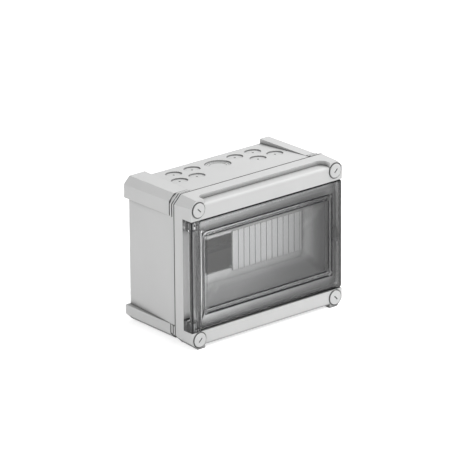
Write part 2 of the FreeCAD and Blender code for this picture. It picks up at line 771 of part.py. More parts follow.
def add_frame(sketch, share, inset="0"):
    """An outline of the door's frame: share 0 is its edge, 1 its crest and 2 the window's edge."""
    add_rounded(
        sketch,
        f"(<hinge_band> - {side} + (<window_left> - <hinge_band>) / 2 * {share} + {inset})",
        f"({side} - <window_right> / 2 * {share} - ({inset}))",
        f"({door_low} + <door_gap> + (<window_bottom> - <door_gap>) / 2 * {share} + {inset})",
        f"({door_high} - <door_gap> - (<window_top> - <door_gap>) / 2 * {share} - ({inset}))",
        f"(<frame_radius> + (<window_radius> - <frame_radius>) / 2 * {share})",
    )


def rolled_ring(body, name, shares, wall):
    """Sections of a ring between the frame's edge and the window, following the roll of the front."""
    sections = []
    for i, share in enumerate(shares):
        sketch = front_sketch(body, f"{name}_{i}", f"(<roll_height> * {(1 - share) ** 2:.4f} + {wall})")
        add_frame(sketch, share, f"{wall} * {1 - share:.2f}")
        add_frame(sketch, f"{2 - share:.2f}")
        sections.append(sketch)
    return sections


def make_door():
    body = new_body("door")
    wall = "<door_wall>"
    skirt = front_sketch(body, "skirt", "<roll_height>")
    add_frame(skirt, "0")
    pad_back(body, "skirt_pad", skirt, "<door_depth> - <roll_height>")
    # The frame is rolled: it rises from its edge to a crest and falls to the window.
    loft(body, "roll", rolled_ring(body, "roll", [0.0, 0.35, 0.65, 0.92], "0"))
    hollow = front_sketch(body, "frame_hollow", "<door_depth>")
    add_frame(hollow, "0", wall)
    add_frame(hollow, "2")
    cut_forward(body, "frame_hollow_cut", hollow, f"<door_depth> - <roll_height> - {wall}")
    sections = rolled_ring(body, "roll_inside", [0.0, 0.35, 0.6, 0.8], wall)
    loft(body, "roll_inside", sections, additive=False)

    # Raised window with a deep rib behind its edge.
    window = front_sketch(body, "window", "<window_setback>")
    add_rounded(window, window_x0, window_x1, window_z0, window_z1, "<window_radius>")
    pad_back(body, "window_raise", window, "<roll_height> - <window_setback>")
    under = front_sketch(body, "window_under", "<door_depth>")
    add_rounded(under, window_x0, window_x1, window_z0, window_z1, "<window_radius>")
    cut_forward(body, "rib_trim", under, "<door_depth> - <rib_depth>")
    cavity = front_sketch(body, "window_cavity", "<rib_depth>")
    add_rounded(
        cavity,
        f"({window_x0} + {wall})",
        f"({window_x1} - {wall})",
        f"({window_z0} + {wall})",
        f"({window_z1} - {wall})",
        f"(<window_radius> - {wall})",
    )
    cut_forward(body, "window_cavity_cut", cavity, f"<rib_depth> - <window_setback> - {wall}")

    # Hinge band down the left, with a lug at each end that reaches round the hinge line.
    band = front_sketch(body, "hinge_band", "0")
    x1 = f"(<hinge_band> - {side} + {wall})"
    low, high = f"({door_low} + <door_gap>)", f"({door_high} - <door_gap>)"
    add_loop(band, rectangle(f"-{side}", f"({x1} - 0.4)", low, high))
    pad_back(body, "hinge_band_pad", band, "<hinge_plate>")
    reach = "sqrt(<hinge_radius> * <hinge_radius> - <hinge_band> * <hinge_band> / 4)"
    lug_back = at_depth(f"<hinge_depth> + {reach}")
    right = f"(<hinge_band> - {side})"
    for name, level, up in (("upper", high, False), ("lower", low, True)):
        plan = new_sketch(body, f"{name}_lug", "XY_Plane", level)
        add_loop(plan, rectangle(f"-{side}", right, at_depth("0"), lug_back), {2: "<hinge_radius>"})
        lug = finish_feature(body, "Pad", f"{name}_lug_pad", plan, Length="<lug_height>")
        lug.Reversed = not up
        plan = new_sketch(body, f"{name}_pin_bore", "XY_Plane", level)
        add_circle(plan, hinge_x, at_depth("<hinge_depth>"), "<pin_radius>")
        length = "<lug_height> - <door_wall>"
        pin_bore = finish_feature(body, "Pocket", f"{name}_pin_bore_cut", plan, Length=length)
        pin_bore.Reversed = up
    dimples = front_sketch(body, "dimples", "0")
    for z in (f"{low} + <lug_height> / 3", f"{high} - <lug_height> / 3"):
        for hand in (-1, 1):
            add_circle(dimples, f"{hinge_x} + 1 + <dimple_spacing> / 2 * ({hand})", z, "<dimple_radius>")
    cut_back(body, "dimple", dimples, "<dimple_depth>")

    catch = front_sketch(body, "catch", "<door_wall>")
    add_loop(catch, rectangle(*catch_box()))
    pad_back(body, "catch_pad", catch, f"{seat} + <catch_reach> - <door_wall>")
    return body


def add_gasket_ring(sketch):
    inner = "<gasket_inset> + <gasket_width>"
    add_loop(sketch, notched("<gasket_inset>", "<gasket_inset>"))
    add_loop(sketch, notched(inner, inner))


def make_gasket():
    body = new_body("cover_gasket")
    ring = front_sketch(body, "ring", f"{joint} - <gasket_height>")
    add_gasket_ring(ring)
    pad_back(body, "strip", ring, "<gasket_height>")
    return body


def make_door_seal():
    body = new_body("door_seal")
    gap = "<door_seal_gap>"
    ring = front_sketch(body, "ring", f"<rib_depth> + {gap}")
    for grow, radius in (
        ("0.4", "<window_radius> + 0.4"),
        ("0.4 - <door_seal_width>", "<window_radius> - <door_wall>"),
    ):
        add_rounded(
            ring,
            f"({window_x0} - ({grow}))",
            f"({window_x1} + {grow})",
            f"({window_z0} - ({grow}))",
            f"({window_z1} + {grow})",
            f"({radius})",
        )
    pad_back(body, "strip", ring, f"{seat} - <rib_depth> - {gap}")
    return body


def make_blanking_strip():
    """Snap-off strip that closes the unused part of the device opening, scored every half module."""
    body = new_body("blanking_strip")
    x0, x1, z0, z1 = opening_box()
    overlap = "<strip_overlap>"
    right = f"({x1} + {overlap})"
    left = f"({right} - <half_module> * <strip_pitches> - {overlap})"
    low, high = f"({z0} - {overlap})", f"({z1} + {overlap})"
    plate = front_sketch(body, "plate", "<bay_depth> - <strip_thick>")
    add_loop(plate, rectangle(left, right, low, high))
    pad_back(body, "plate_pad", plate, "<strip_thick>")
    line = front_sketch(body, "line", "<bay_depth> - <strip_thick>")
    at = f"({right} - {overlap} - <half_module>)"
    half = "<strip_line_width> / 2"
    add_loop(line, rectangle(f"({at} - {half})", f"({at} + {half})", f"({low} - 1)", f"({high} + 1)"))
    score = cut_back(body, "score", line, "<strip_line_depth>")
    pattern = body.newObject("PartDesign::LinearPattern", "blanking_strip_scores")
    pattern.Originals = [score]
    pattern.Direction = (line, ["H_Axis"])
    pattern.Reversed = True
    pattern.setExpression("Length", sized("<half_module> * (<strip_pitches> - 1)"))
    pattern.setExpression("Occurrences", sized("<strip_pitches>"))
    body.Tip = pattern
    lips = front_sketch(body, "lips", "<bay_depth>")
    fit = "<strip_fit>"
    for edge, sign in ((z0, 1), (z1, -1)):
        outer = f"({edge} + {fit} * ({sign}))"
        inner = f"({edge} + ({fit} + <strip_lip_thick>) * ({sign}))"
        pair = (outer, inner) if sign > 0 else (inner, outer)
        add_loop(lips, rectangle(f"({left} + 1)", f"({x1} - {fit})", *pair))
    pad_back(body, "lips_pad", lips, "<strip_lip>")
    return body


def make_closure(corner):
    """One quarter-turn closure: slotted head, shank and the cross tongue that draws the cover down."""
    name = f"closure_{corner_names[corner]}"
    body = new_body(name)
    x, z = closure_place(corner)
    steps = (
        ("head", "-<closure_proud>", "<head_seat_depth>", "<head_radius>"),
        ("shank", "<head_seat_depth>", tongue_back, "<shank_radius>"),
    )
    for part, start, stop, radius in steps:
        sketch = front_sketch(body, part, start)
        add_circle(sketch, x, z, radius)
        pad_back(body, f"{part}_pad", sketch, f"{stop} - ({start})")
    slope = corner[0] * corner[1]
    tongue = front_sketch(body, "tongue", tongue_front)
    add_loop(tongue, turned_outline(x, z, "<tongue_half>", "<tongue_width> / 2", slope))
    pad_back(body, "tongue_pad", tongue, "<tongue_thick>")
    document.recompute()
    blank = body.Tip
    y = value(at_depth("-<closure_proud>"))
    rim = [f"Edge{i}" for i, e in enumerate(blank.Shape.Edges, start=1) if abs(e.BoundBox.YMax - y) < 1e-4]
    chamfer = body.newObject("PartDesign::Chamfer", f"{name}_rim")
    chamfer.Base = (blank, rim)
    chamfer.setExpression("Size", sized("<closure_proud> / 3"))
    slot = front_sketch(body, "slot", "-<closure_proud>")
    add_loop(slot, turned_outline(x, z, "<slot_length> / 2", "<slot_width> / 2", slope))
    cut_back(body, "slot_cut", slot, "<slot_depth>")
    return body


def turned_outline(x, z, half, across, slope):
    """A bar's outline turned 45 degrees; slope 1 rises to the right and -1 falls."""
    points = []
    for along, beside in ((-1, -1), (1, -1), (1, 1), (-1, 1)):
        u = f"({half} * ({along}) - {across} * ({beside}) * ({slope})) * cos(45)"
        v = f"({half} * ({along}) * ({slope}) + {across} * ({beside})) * cos(45)"
        points.append((f"{x} + {u}", f"{z} + {v}"))
    return points


def make_rings(name, places, inner, outer, depth, height):
    """Identical rings in one node, each a solid of its own."""
    return make_turned_set(name, places, [(depth, f"{depth} + {height}", outer, inner)])


def make_turned_set(name, places, steps):
    """Identical turned pieces in one node; each step runs from one depth to the next."""
    solids = []
    for x, z in places:
        piece = None
        for start, stop, outer, inner in steps:
            base = FreeCAD.Vector(value(x), value(at_depth(start)), value(z))
            length = value(f"({stop}) - ({start})")
            step = Part.makeCylinder(value(outer), length, base, FreeCAD.Vector(0, 1, 0))
            if inner:
                step = step.cut(Part.makeCylinder(value(inner), length, base, FreeCAD.Vector(0, 1, 0)))
            piece = step if piece is None else piece.fuse(step).removeSplitter()
        solids.append(piece)
    feature = document.addObject("Part::Feature", name)
    feature.Label = name
    feature.Shape = Part.makeCompound([s for piece in solids for s in piece.Solids])
    return feature


def make_pin(name, upper):
    pin = document.addObject("Part::Cylinder", name)
    pin.Label = name
    pin.setExpression("Radius", sized("<pin_radius>"))
    pin.setExpression("Height", sized("<lug_height> - <door_wall> + <door_gap> + <pin_reach>"))
    if upper:
        low = f"({door_high} - <door_gap> - <lug_height> + <door_wall>)"
    else:
        low = f"({door_low} - <pin_reach>)"
    pin.setExpression("Placement.Base.x", sized(hinge_x))
    pin.setExpression("Placement.Base.y", sized(at_depth("<hinge_depth>")))
    pin.setExpression("Placement.Base.z", sized(low))
    return pin


def make_rail():
    """Top-hat mounting rail with its row of slots."""
    body = new_body("din_rail")
    section = new_sketch(body, "section", "YZ_Plane", "-<rail_length> / 2")
    f0, f1 = at_depth(rail_front), at_depth(f"{rail_front} + <rail_thick>")
    b0, b1 = at_depth(f"{rail_back} - <rail_thick>"), at_depth(rail_back)
    lip, web = "<rail_height> / 2", "<rail_channel> / 2"
    web_in = f"({web} - <rail_thick>)"
    z = opening_mid_z
    points = [
        (f0, f"{z} - {lip}"), (f1, f"{z} - {lip}"), (f1, f"{z} - {web}"), (b1, f"{z} - {web}"),
        (b1, f"{z} + {web}"), (f1, f"{z} + {web}"), (f1, f"{z} + {lip}"), (f0, f"{z} + {lip}"),
        (f0, f"{z} + {web_in}"), (b0, f"{z} + {web_in}"), (b0, f"{z} - {web_in}"), (f0, f"{z} - {web_in}"),
    ]
    add_loop(section, points)
    finish_feature(body, "Pad", "bar", section, Length="<rail_length>")
    slot = front_sketch(body, "slot", f"{rail_back} - <rail_thick> - 1")
    half = "<rail_slot_length> / 2"
    start = "<rail_post_x>"
    across = "<rail_slot_width> / 2"
    add_rounded(
        slot, f"({start} - {half})", f"({start} + {half})", f"({z} - {across})", f"({z} + {across})",
        f"({across} - 0.2)",
    )
    cut = cut_back(body, "slot_cut", slot, "<rail_thick> + 2")
    pattern = body.newObject("PartDesign::LinearPattern", "din_rail_slots")
    pattern.Originals = [cut]
    pattern.Direction = (slot, ["H_Axis"])
    pattern.Reversed = True
    count = "(2 * round(<rail_post_x> / <rail_slot_pitch>) + 1)"
    pattern.setExpression("Length", sized("2 * <rail_post_x>"))
    pattern.setExpression("Occurrences", sized(count))
    body.Tip = pattern
    return body


def make_carrier():
    """Moulded carrier with fences that hold the neutral and earth bars."""
    body = new_body("terminal_carrier")
    z = f"({opening_mid_z} + <carrier_rise>)"
    plate_front = "(<bay_depth> + <carrier_setback>)"
    plate = front_sketch(body, "plate", plate_front)
    half, rise = "<carrier_length> / 2", "<carrier_height> / 2"
    add_rounded(plate, f"(-{half})", f"({half})", f"({z} - {rise})", f"({z} + {rise})", "<wall>")
    pad_back(body, "plate_pad", plate, "<carrier_thick>")
    fences = front_sketch(body, "fences", f"{plate_front} - <bar_thick> / 2")
    bar = "<bar_height> / 2"
    for sign in (-1, 1):
        near = f"({z} + ({bar}) * ({sign}))"
        far = f"({z} + ({bar} + <bar_fence>) * ({sign}))"
        pair = (near, far) if sign > 0 else (far, near)
        add_loop(fences, rectangle(f"(-{half} + 1)", f"({half} - 1)", *pair))
    pad_back(body, "fences_pad", fences, "<bar_thick> / 2 + 0.5")
    holes = front_sketch(body, "screw_holes", plate_front)
    for sign in (-1, 1):
        add_circle(holes, f"<carrier_post_x> * ({sign})", z, "<rail_screw_radius>")
    cut_back(body, "screw_hole", holes, "<carrier_thick> + 1")
    sinks = front_sketch(body, "screw_sinks", plate_front)
    for sign in (-1, 1):
        add_circle(sinks, f"<carrier_post_x> * ({sign})", z, "<rail_screw_head>")
    cut_back(body, "screw_sink", sinks, "<rail_screw_head_height>")
    return body


def bar_places(sign):
    z = f"({opening_mid_z} + <carrier_rise>)"
    start = f"(<bar_gap> / 2)"
    pitch = "(<bar_length> / <bar_holes>)"
    count = int(round(value("<bar_holes>")))
    return [(f"({start} + {pitch} * {i + 0.5}) * ({sign})", z) for i in range(count)]


def make_bar(name, sign):
    """Brass bar with a row of cable holes, each crossed by its clamping screw."""
    body = new_body(name)
    z = f"({opening_mid_z} + <carrier_rise>)"
    bar_front = "(<bay_depth> + <carrier_setback> - <bar_thick>)"
    ends = ["<bar_gap> / 2", "<bar_gap> / 2 + <bar_length>"]
    x0, x1 = [f"({e}) * ({sign})" for e in (ends if sign > 0 else ends[::-1])]
    outline = front_sketch(body, "outline", bar_front)
    rise = "<bar_height> / 2"
    add_loop(outline, rectangle(x0, x1, f"({z} - {rise})", f"({z} + {rise})"))
    pad_back(body, "bar", outline, "<bar_thick>")
    wires = new_sketch(body, "wire_holes", "XY_Plane", f"{z} + {rise} + 1")
    taps = front_sketch(body, "taps", bar_front)
    for x, _ in bar_places(sign):
        add_circle(wires, x, at_depth(f"{bar_front} + <bar_thick> * 0.62"), "<bar_hole_radius>")
        add_circle(taps, x, z, "<bar_screw_radius>")
    finish_feature(body, "Pocket", "wire_hole", wires, Length="<bar_height> + 2")
    cut_back(body, "tap", taps, "<bar_thick> * 0.62")
    return body


def make_bar_screws(name, sign):
    bar_front = "(<bay_depth> + <carrier_setback> - <bar_thick>)"
    start = f"({bar_front} - <bar_screw_proud>)"
    stop = f"({bar_front} + <bar_thick> * 0.62 - <bar_hole_radius>)"
    return make_turned_set(name, bar_places(sign), [(start, stop, "<bar_screw_radius>", None)])


def make_all():
    make_base()
    make_cover()
    make_gasket()
    make_door()
    make_door_seal()
    make_pin("hinge_pin_upper", True)
    make_pin("hinge_pin_lower", False)
    for corner in corners:
        make_closure(corner)
    places = [closure_place(corner) for corner in corners]
    seal_radii = (bore, f"{bore} + <closure_seal_width>")
    make_rings("closure_seals", places, *seal_radii, "<head_seat_depth>", "<closure_seal_height>")
    make_blanking_strip()
    make_rail()
    posts = [(f"<rail_post_x> * ({sign})", opening_mid_z) for sign in (-1, 1)]
    web = f"({rail_back} - <rail_thick>)"
    steps = [
        (f"{web} - <rail_screw_head_height>", web, "<rail_screw_head>", None),
        (web, f"{rail_back} + <rail_screw_length>", "<rail_screw_radius>", None),
    ]
    make_turned_set("rail_screws", posts, steps)
    make_carrier()
    carrier_z = f"({opening_mid_z} + <carrier_rise>)"
    posts = [(f"<carrier_post_x> * ({sign})", carrier_z) for sign in (-1, 1)]
    plate = "(<bay_depth> + <carrier_setback>)"
    sunk = f"({plate} + <rail_screw_head_height>)"
    end = f"({plate} + <carrier_thick> + <carrier_screw_length>)"
    steps = [(plate, sunk, "<rail_screw_head>", None), (sunk, end, "<rail_screw_radius>", None)]
    make_turned_set("carrier_screws", posts, steps)
    for name, sign in (("neutral", -1), ("earth", 1)):
        make_bar(f"{name}_bar", sign)
        make_bar_screws(f"{name}_screws", sign)
    boss_front = f"({inner_back} - <fixing_boss_height>)"
    fixings = [(f"<fixing_x> * ({sx})", f"{middle} + <fixing_z> * ({sz})") for sx, sz in corners]
    steps = [(boss_front, f"{boss_front} + <plug_height>", "<plug_radius>", None)]
    make_turned_set("fixing_plugs", fixings, steps)


def check_and_write():
    kinds = ("PartDesign::Body", "Part::Cylinder", "Part::Feature")
    pieces = [o for o in document.Objects if o.TypeId in kinds]
    faults = [f"{o.Label}: {o.State}" for o in document.Objects if {"Invalid", "Error"} & set(o.State)]
    for piece in pieces:
        if piece.Shape.isNull() or not piece.Shape.isValid():
            faults.append(f"{piece.Label}: no valid shape")
    if faults:
        raise RuntimeError("; ".join(faults))
    os.makedirs("parts", exist_ok=True)
    for piece in pieces:
        piece.Shape.exportStep(f"parts/{piece.Label}.step")
        box = piece.Shape.BoundBox
        spans = [f"{low:.1f}..{high:.1f}" for low, high in
                 ((box.XMin, box.XMax), (box.YMin, box.YMax), (box.ZMin, box.ZMax))]
        print(piece.Label, len(piece.Shape.Solids), f"{piece.Shape.Volume / 1000:.1f} cm3", *spans)


make_all()
document.recompute()
check_and_write()
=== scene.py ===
import math
import bpy
import bmesh
from mathutils import Matrix, Vector


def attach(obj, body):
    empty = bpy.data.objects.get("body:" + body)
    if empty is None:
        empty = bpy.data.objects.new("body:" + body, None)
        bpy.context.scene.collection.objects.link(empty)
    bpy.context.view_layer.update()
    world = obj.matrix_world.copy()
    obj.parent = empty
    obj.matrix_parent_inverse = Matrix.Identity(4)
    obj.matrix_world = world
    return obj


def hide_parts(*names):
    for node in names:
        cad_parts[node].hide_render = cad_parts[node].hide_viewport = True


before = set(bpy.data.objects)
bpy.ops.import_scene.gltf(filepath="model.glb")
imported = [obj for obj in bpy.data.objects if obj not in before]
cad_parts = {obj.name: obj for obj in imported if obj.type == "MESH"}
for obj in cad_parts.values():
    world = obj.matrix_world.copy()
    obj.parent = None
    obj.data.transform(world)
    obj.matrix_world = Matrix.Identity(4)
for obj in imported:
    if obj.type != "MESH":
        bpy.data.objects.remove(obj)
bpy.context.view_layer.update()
print("frame loaded:", len(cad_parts), "nodes")

mm = 0.001
scene = bpy.context.scene


def newGroup(name, inputs, outputs):
    group = bpy.data.node_groups.new(name, "ShaderNodeTree")
    for label, kind, start in inputs:
        socket = group.interface.new_socket(name=label, in_out="INPUT", socket_type=kind)
        if start is not None:
            socket.default_value = start
    for label, kind in outputs:
        group.interface.new_socket(name=label, in_out="OUTPUT", socket_type=kind)
    return group, group.nodes.new("NodeGroupInput"), group.nodes.new("NodeGroupOutput")


def addNode(tree, kind, **settings):
    node = tree.nodes.new(kind)
    for key, setting in settings.items():
        setattr(node, key, setting)
    return node


def wire(tree, *pairs):
    for start, stop in pairs:
        tree.links.new(start, stop)


grainSizes = {
    "driftScale": 14.0, "driftDetail": 3.0, "driftFrom": (0.3, 0.7), "fineDetail": 2.0,
    "edgeSamples": 6, "edgeHighlightFacing": (0.995, 0.9), "edgeHighlightTone": (0.93, 0.93, 0.92, 1),
    "paintedShadeSamples": 8, "paintedShadeOpen": (0.36, 0.92),
    "cornerReach": 0.0014, "cornerOpen": (0.5, 0.8), "cornerShadeTone": 0.45,
    "bumpDepth": 0.00006, "polishSwing": 0.12,
}


def setRange(node, limits):
    node.inputs["From Min"].default_value = limits[0]
    node.inputs["From Max"].default_value = limits[1]


def buildMouldedGrain():
    # fine spark-eroded grain, slow tone drift, softened edges with a painted highlight, and painted shade
    # in creases and inner corners, for every moulded plastic
    group, start, stop = newGroup(
        "mouldedGrain",
        [("Tone", "NodeSocketColor", (0.8, 0.8, 0.8, 1)), ("Drift", "NodeSocketFloat", 0.04),
         ("Grain Size", "NodeSocketFloat", 2200.0), ("Grain Height", "NodeSocketFloat", 0.12),
         ("Edge Radius", "NodeSocketFloat", 0.0006), ("Painted Edge Highlight", "NodeSocketFloat", 0.25),
         ("Gloss", "NodeSocketFloat", 0.42), ("Painted Shade Reach", "NodeSocketFloat", 0.010),
         ("Painted Shade Depth", "NodeSocketFloat", 0.85)],
        [("Color", "NodeSocketColor"), ("Roughness", "NodeSocketFloat"), ("Normal", "NodeSocketVector")],
    )
    place = addNode(group, "ShaderNodeTexCoord")
    slow = addNode(group, "ShaderNodeTexNoise")
    slow.inputs["Scale"].default_value = grainSizes["driftScale"]
    slow.inputs["Detail"].default_value = grainSizes["driftDetail"]
    fine = addNode(group, "ShaderNodeTexNoise")
    fine.inputs["Detail"].default_value = grainSizes["fineDetail"]
    drift = addNode(group, "ShaderNodeMapRange")
    setRange(drift, grainSizes["driftFrom"])
    low = addNode(group, "ShaderNodeMath", operation="SUBTRACT")
    low.inputs[0].default_value = 1.0
    tone = addNode(group, "ShaderNodeVectorMath", operation="SCALE")
    bevel = addNode(group, "ShaderNodeBevel", samples=grainSizes["edgeSamples"])
    geometry = addNode(group, "ShaderNodeNewGeometry")
    facing = addNode(group, "ShaderNodeVectorMath", operation="DOT_PRODUCT")
    # painted highlight: rounded convex edges are mixed towards a lighter tone
    edge = addNode(group, "ShaderNodeMapRange")
    setRange(edge, grainSizes["edgeHighlightFacing"])
    lift = addNode(group, "ShaderNodeMath", operation="MULTIPLY")
    highlighted = addNode(group, "ShaderNodeMix", data_type="RGBA")
    highlighted.inputs[7].default_value = grainSizes["edgeHighlightTone"]
    # painted shade: surfaces with other surfaces close by are darkened, in creases, grooves and recesses
    shadeOcclusion = addNode(group, "ShaderNodeAmbientOcclusion", samples=grainSizes["paintedShadeSamples"])
    shadeFactor = addNode(group, "ShaderNodeMapRange")
    setRange(shadeFactor, grainSizes["paintedShadeOpen"])
    left = addNode(group, "ShaderNodeMath", operation="SUBTRACT")
    left.inputs[0].default_value = 1.0
    # a narrow second shade that draws the inner corners
    corner = addNode(group, "ShaderNodeAmbientOcclusion", samples=grainSizes["paintedShadeSamples"])
    corner.inputs["Distance"].default_value = grainSizes["cornerReach"]
    cornerShade = addNode(group, "ShaderNodeMapRange")
    setRange(cornerShade, grainSizes["cornerOpen"])
    cornerShade.inputs["To Min"].default_value = grainSizes["cornerShadeTone"]
    shade = addNode(group, "ShaderNodeMath", operation="MULTIPLY")
    shadedTone = addNode(group, "ShaderNodeVectorMath", operation="SCALE")
    bump = addNode(group, "ShaderNodeBump")
    bump.inputs["Distance"].default_value = grainSizes["bumpDepth"]
    polish = addNode(group, "ShaderNodeMath", operation="MULTIPLY_ADD")
    polish.inputs[1].default_value = grainSizes["polishSwing"]
    wire(
        group,
        (place.outputs["Object"], slow.inputs["Vector"]),
        (place.outputs["Object"], fine.inputs["Vector"]),
        (start.outputs["Grain Size"], fine.inputs["Scale"]),
        (slow.outputs["Fac"], drift.inputs["Value"]),
        (start.outputs["Drift"], low.inputs[1]),
        (low.outputs[0], drift.inputs["To Min"]),
        (start.outputs["Tone"], tone.inputs[0]),
        (drift.outputs["Result"], tone.inputs["Scale"]),
        (start.outputs["Edge Radius"], bevel.inputs["Radius"]),
        (bevel.outputs["Normal"], facing.inputs[0]),
        (geometry.outputs["Normal"], facing.inputs[1]),
        (facing.outputs["Value"], edge.inputs["Value"]),
        (edge.outputs["Result"], lift.inputs[0]),
        (start.outputs["Painted Edge Highlight"], lift.inputs[1]),
        (lift.outputs[0], highlighted.inputs[0]),
        (tone.outputs[0], highlighted.inputs[6]),
        (start.outputs["Painted Shade Reach"], shadeOcclusion.inputs["Distance"]),
        (shadeOcclusion.outputs["AO"], shadeFactor.inputs["Value"]),
        (start.outputs["Painted Shade Depth"], left.inputs[1]),
        (left.outputs[0], shadeFactor.inputs["To Min"]),
        (highlighted.outputs[2], shadedTone.inputs[0]),
        (corner.outputs["AO"], cornerShade.inputs["Value"]),
        (shadeFactor.outputs["Result"], shade.inputs[0]),
        (cornerShade.outputs["Result"], shade.inputs[1]),
        (shade.outputs[0], shadedTone.inputs["Scale"]),
        (shadedTone.outputs[0], stop.inputs["Color"]),
        (fine.outputs["Fac"], bump.inputs["Height"]),
        (start.outputs["Grain Height"], bump.inputs["Strength"]),
        (bevel.outputs["Normal"], bump.inputs["Normal"]),
        (bump.outputs["Normal"], stop.inputs["Normal"]),
        (fine.outputs["Fac"], polish.inputs[0]),
        (start.outputs["Gloss"], polish.inputs[2]),
        (polish.outputs[0], stop.inputs["Roughness"]),
    )
    return group


mouldedGrain = buildMouldedGrain()
print("shared groups built")


def newMaterial(name):
    material = bpy.data.materials.new(name)
    material.use_nodes = True
    return material, material.node_tree, material.node_tree.nodes["Principled BSDF"]


def mouldedPlastic(name, settings):
    # every setting but the specular level is an input of the shared group
    material, tree, shader = newMaterial(name)
    grain = addNode(tree, "ShaderNodeGroup", node_tree=mouldedGrain)
    for label, amount in settings.items():
        if label != "specular":
            grain.inputs[label].default_value = amount
    shader.inputs["Specular IOR Level"].default_value = settings.get("specular", 0.5)
    wire(
        tree,
        (grain.outputs["Color"], shader.inputs["Base Color"]),
        (grain.outputs["Roughness"], shader.inputs["Roughness"]),
        (grain.outputs["Normal"], shader.inputs["Normal"]),
    )
    return material


def smokedAcrylic(name, settings):
    # grey smoked moulding that darkens with the density painted on it, which holds the smoke tint plus
    # painted shade and painted highlight
    # shadow rays pass tinted, so the lamps light the bay behind it
    material, tree, shader = newMaterial(name)
    density = addNode(tree, "ShaderNodeAttribute", attribute_name="smokeAndShadeTone")
    tint = addNode(tree, "ShaderNodeMix", data_type="RGBA")
    tint.inputs[6].default_value = (*settings["tint"], 1)
    tint.inputs[7].default_value = (*settings["denseTint"], 1)
    shader.inputs["Roughness"].default_value = settings["roughness"]
    shader.inputs["IOR"].default_value = settings["ior"]
    shader.inputs["Transmission Weight"].default_value = 1.0
    rays = addNode(tree, "ShaderNodeLightPath")
    clear = addNode(tree, "ShaderNodeBsdfTransparent")
    both = addNode(tree, "ShaderNodeMixShader")
    output = tree.nodes["Material Output"]
    wire(
        tree,
        (density.outputs["Fac"], tint.inputs[0]),
        (tint.outputs[2], shader.inputs["Base Color"]),
        (tint.outputs[2], clear.inputs["Color"]),
        (rays.outputs["Is Shadow Ray"], both.inputs[0]),
        (shader.outputs[0], both.inputs[1]),
        (clear.outputs[0], both.inputs[2]),
        (both.outputs[0], output.inputs["Surface"]),
    )
    return material


streaks = {
    "detail": 4.0, "smoother": 0.75, "rougher": 1.3, "darker": 0.86,
    "bumpDepth": 0.00004, "bumpStrength": 0.2,
}


def turnedMetal(name, tone, roughness, scale):
    # metal with fine streaks that vary its tone and polish
    material, tree, shader = newMaterial(name)
    shader.inputs["Metallic"].default_value = 1.0
    place = addNode(tree, "ShaderNodeTexCoord")
    streak = addNode(tree, "ShaderNodeTexNoise")
    streak.inputs["Scale"].default_value = scale
    streak.inputs["Detail"].default_value = streaks["detail"]
    spread = addNode(tree, "ShaderNodeMapRange")
    spread.inputs["To Min"].default_value = roughness * streaks["smoother"]
    spread.inputs["To Max"].default_value = roughness * streaks["rougher"]
    ramp = addNode(tree, "ShaderNodeMix", data_type="RGBA")
    ramp.inputs[6].default_value = (*[c * streaks["darker"] for c in tone], 1)
    ramp.inputs[7].default_value = (*tone, 1)
    bump = addNode(tree, "ShaderNodeBump")
    bump.inputs["Distance"].default_value = streaks["bumpDepth"]
    bump.inputs["Strength"].default_value = streaks["bumpStrength"]
    wire(
        tree,
        (place.outputs["Object"], streak.inputs["Vector"]),
        (streak.outputs["Fac"], spread.inputs["Value"]),
        (spread.outputs["Result"], shader.inputs["Roughness"]),
        (streak.outputs["Fac"], ramp.inputs[0]),
        (ramp.outputs[2], shader.inputs["Base Color"]),
        (streak.outputs["Fac"], bump.inputs["Height"]),
        (bump.outputs["Normal"], shader.inputs["Normal"]),
    )
    return material


plastics = {
    "housingPlastic": {"Tone": (0.76, 0.762, 0.76, 1), "Gloss": 0.42},
    "blankPlastic": {"Tone": (0.80, 0.802, 0.80, 1), "Gloss": 0.48},
    "carrierPlastic": {"Tone": (0.035, 0.036, 0.04, 1), "Gloss": 0.45, "Painted Edge Highlight": 0.04},
    "sealRubber": {"Tone": (0.02, 0.02, 0.021, 1), "Gloss": 0.62, "Painted Edge Highlight": 0.0, "specular": 0.3},
    "paleRubber": {"Tone": (0.56, 0.562, 0.56, 1), "Gloss": 0.6, "Painted Edge Highlight": 0.0, "specular": 0.3},
    "closurePlastic": {
        "Tone": (0.76, 0.762, 0.76, 1), "Gloss": 0.42, "Painted Shade Reach": 0.003, "Painted Shade Depth": 1.0,
    },
    "paintedShadeLine": {"Tone": (0.03, 0.03, 0.032, 1), "Gloss": 0.6, "Painted Edge Highlight": 0.0, "specular": 0.1},
}
metals = {
    "zincSteel": {"tone": (0.66, 0.67, 0.68), "roughness": 0.34, "scale": 260.0},
    "barBrass": {"tone": (0.82, 0.62, 0.28), "roughness": 0.3, "scale": 320.0},
}
smokeFinish = {
    "tint": (0.95, 0.953, 0.957), "denseTint": (0.006, 0.006, 0.007), "roughness": 0.03, "ior": 1.49,
}

finishes = {name: mouldedPlastic(name, settings) for name, settings in plastics.items()}
for metalName, metalSettings in metals.items():
    finishes[metalName] = turnedMetal(metalName, **metalSettings)
finishes["smokedDoor"] = smokedAcrylic("smokedDoor", smokeFinish)
print("materials built:", len(finishes))

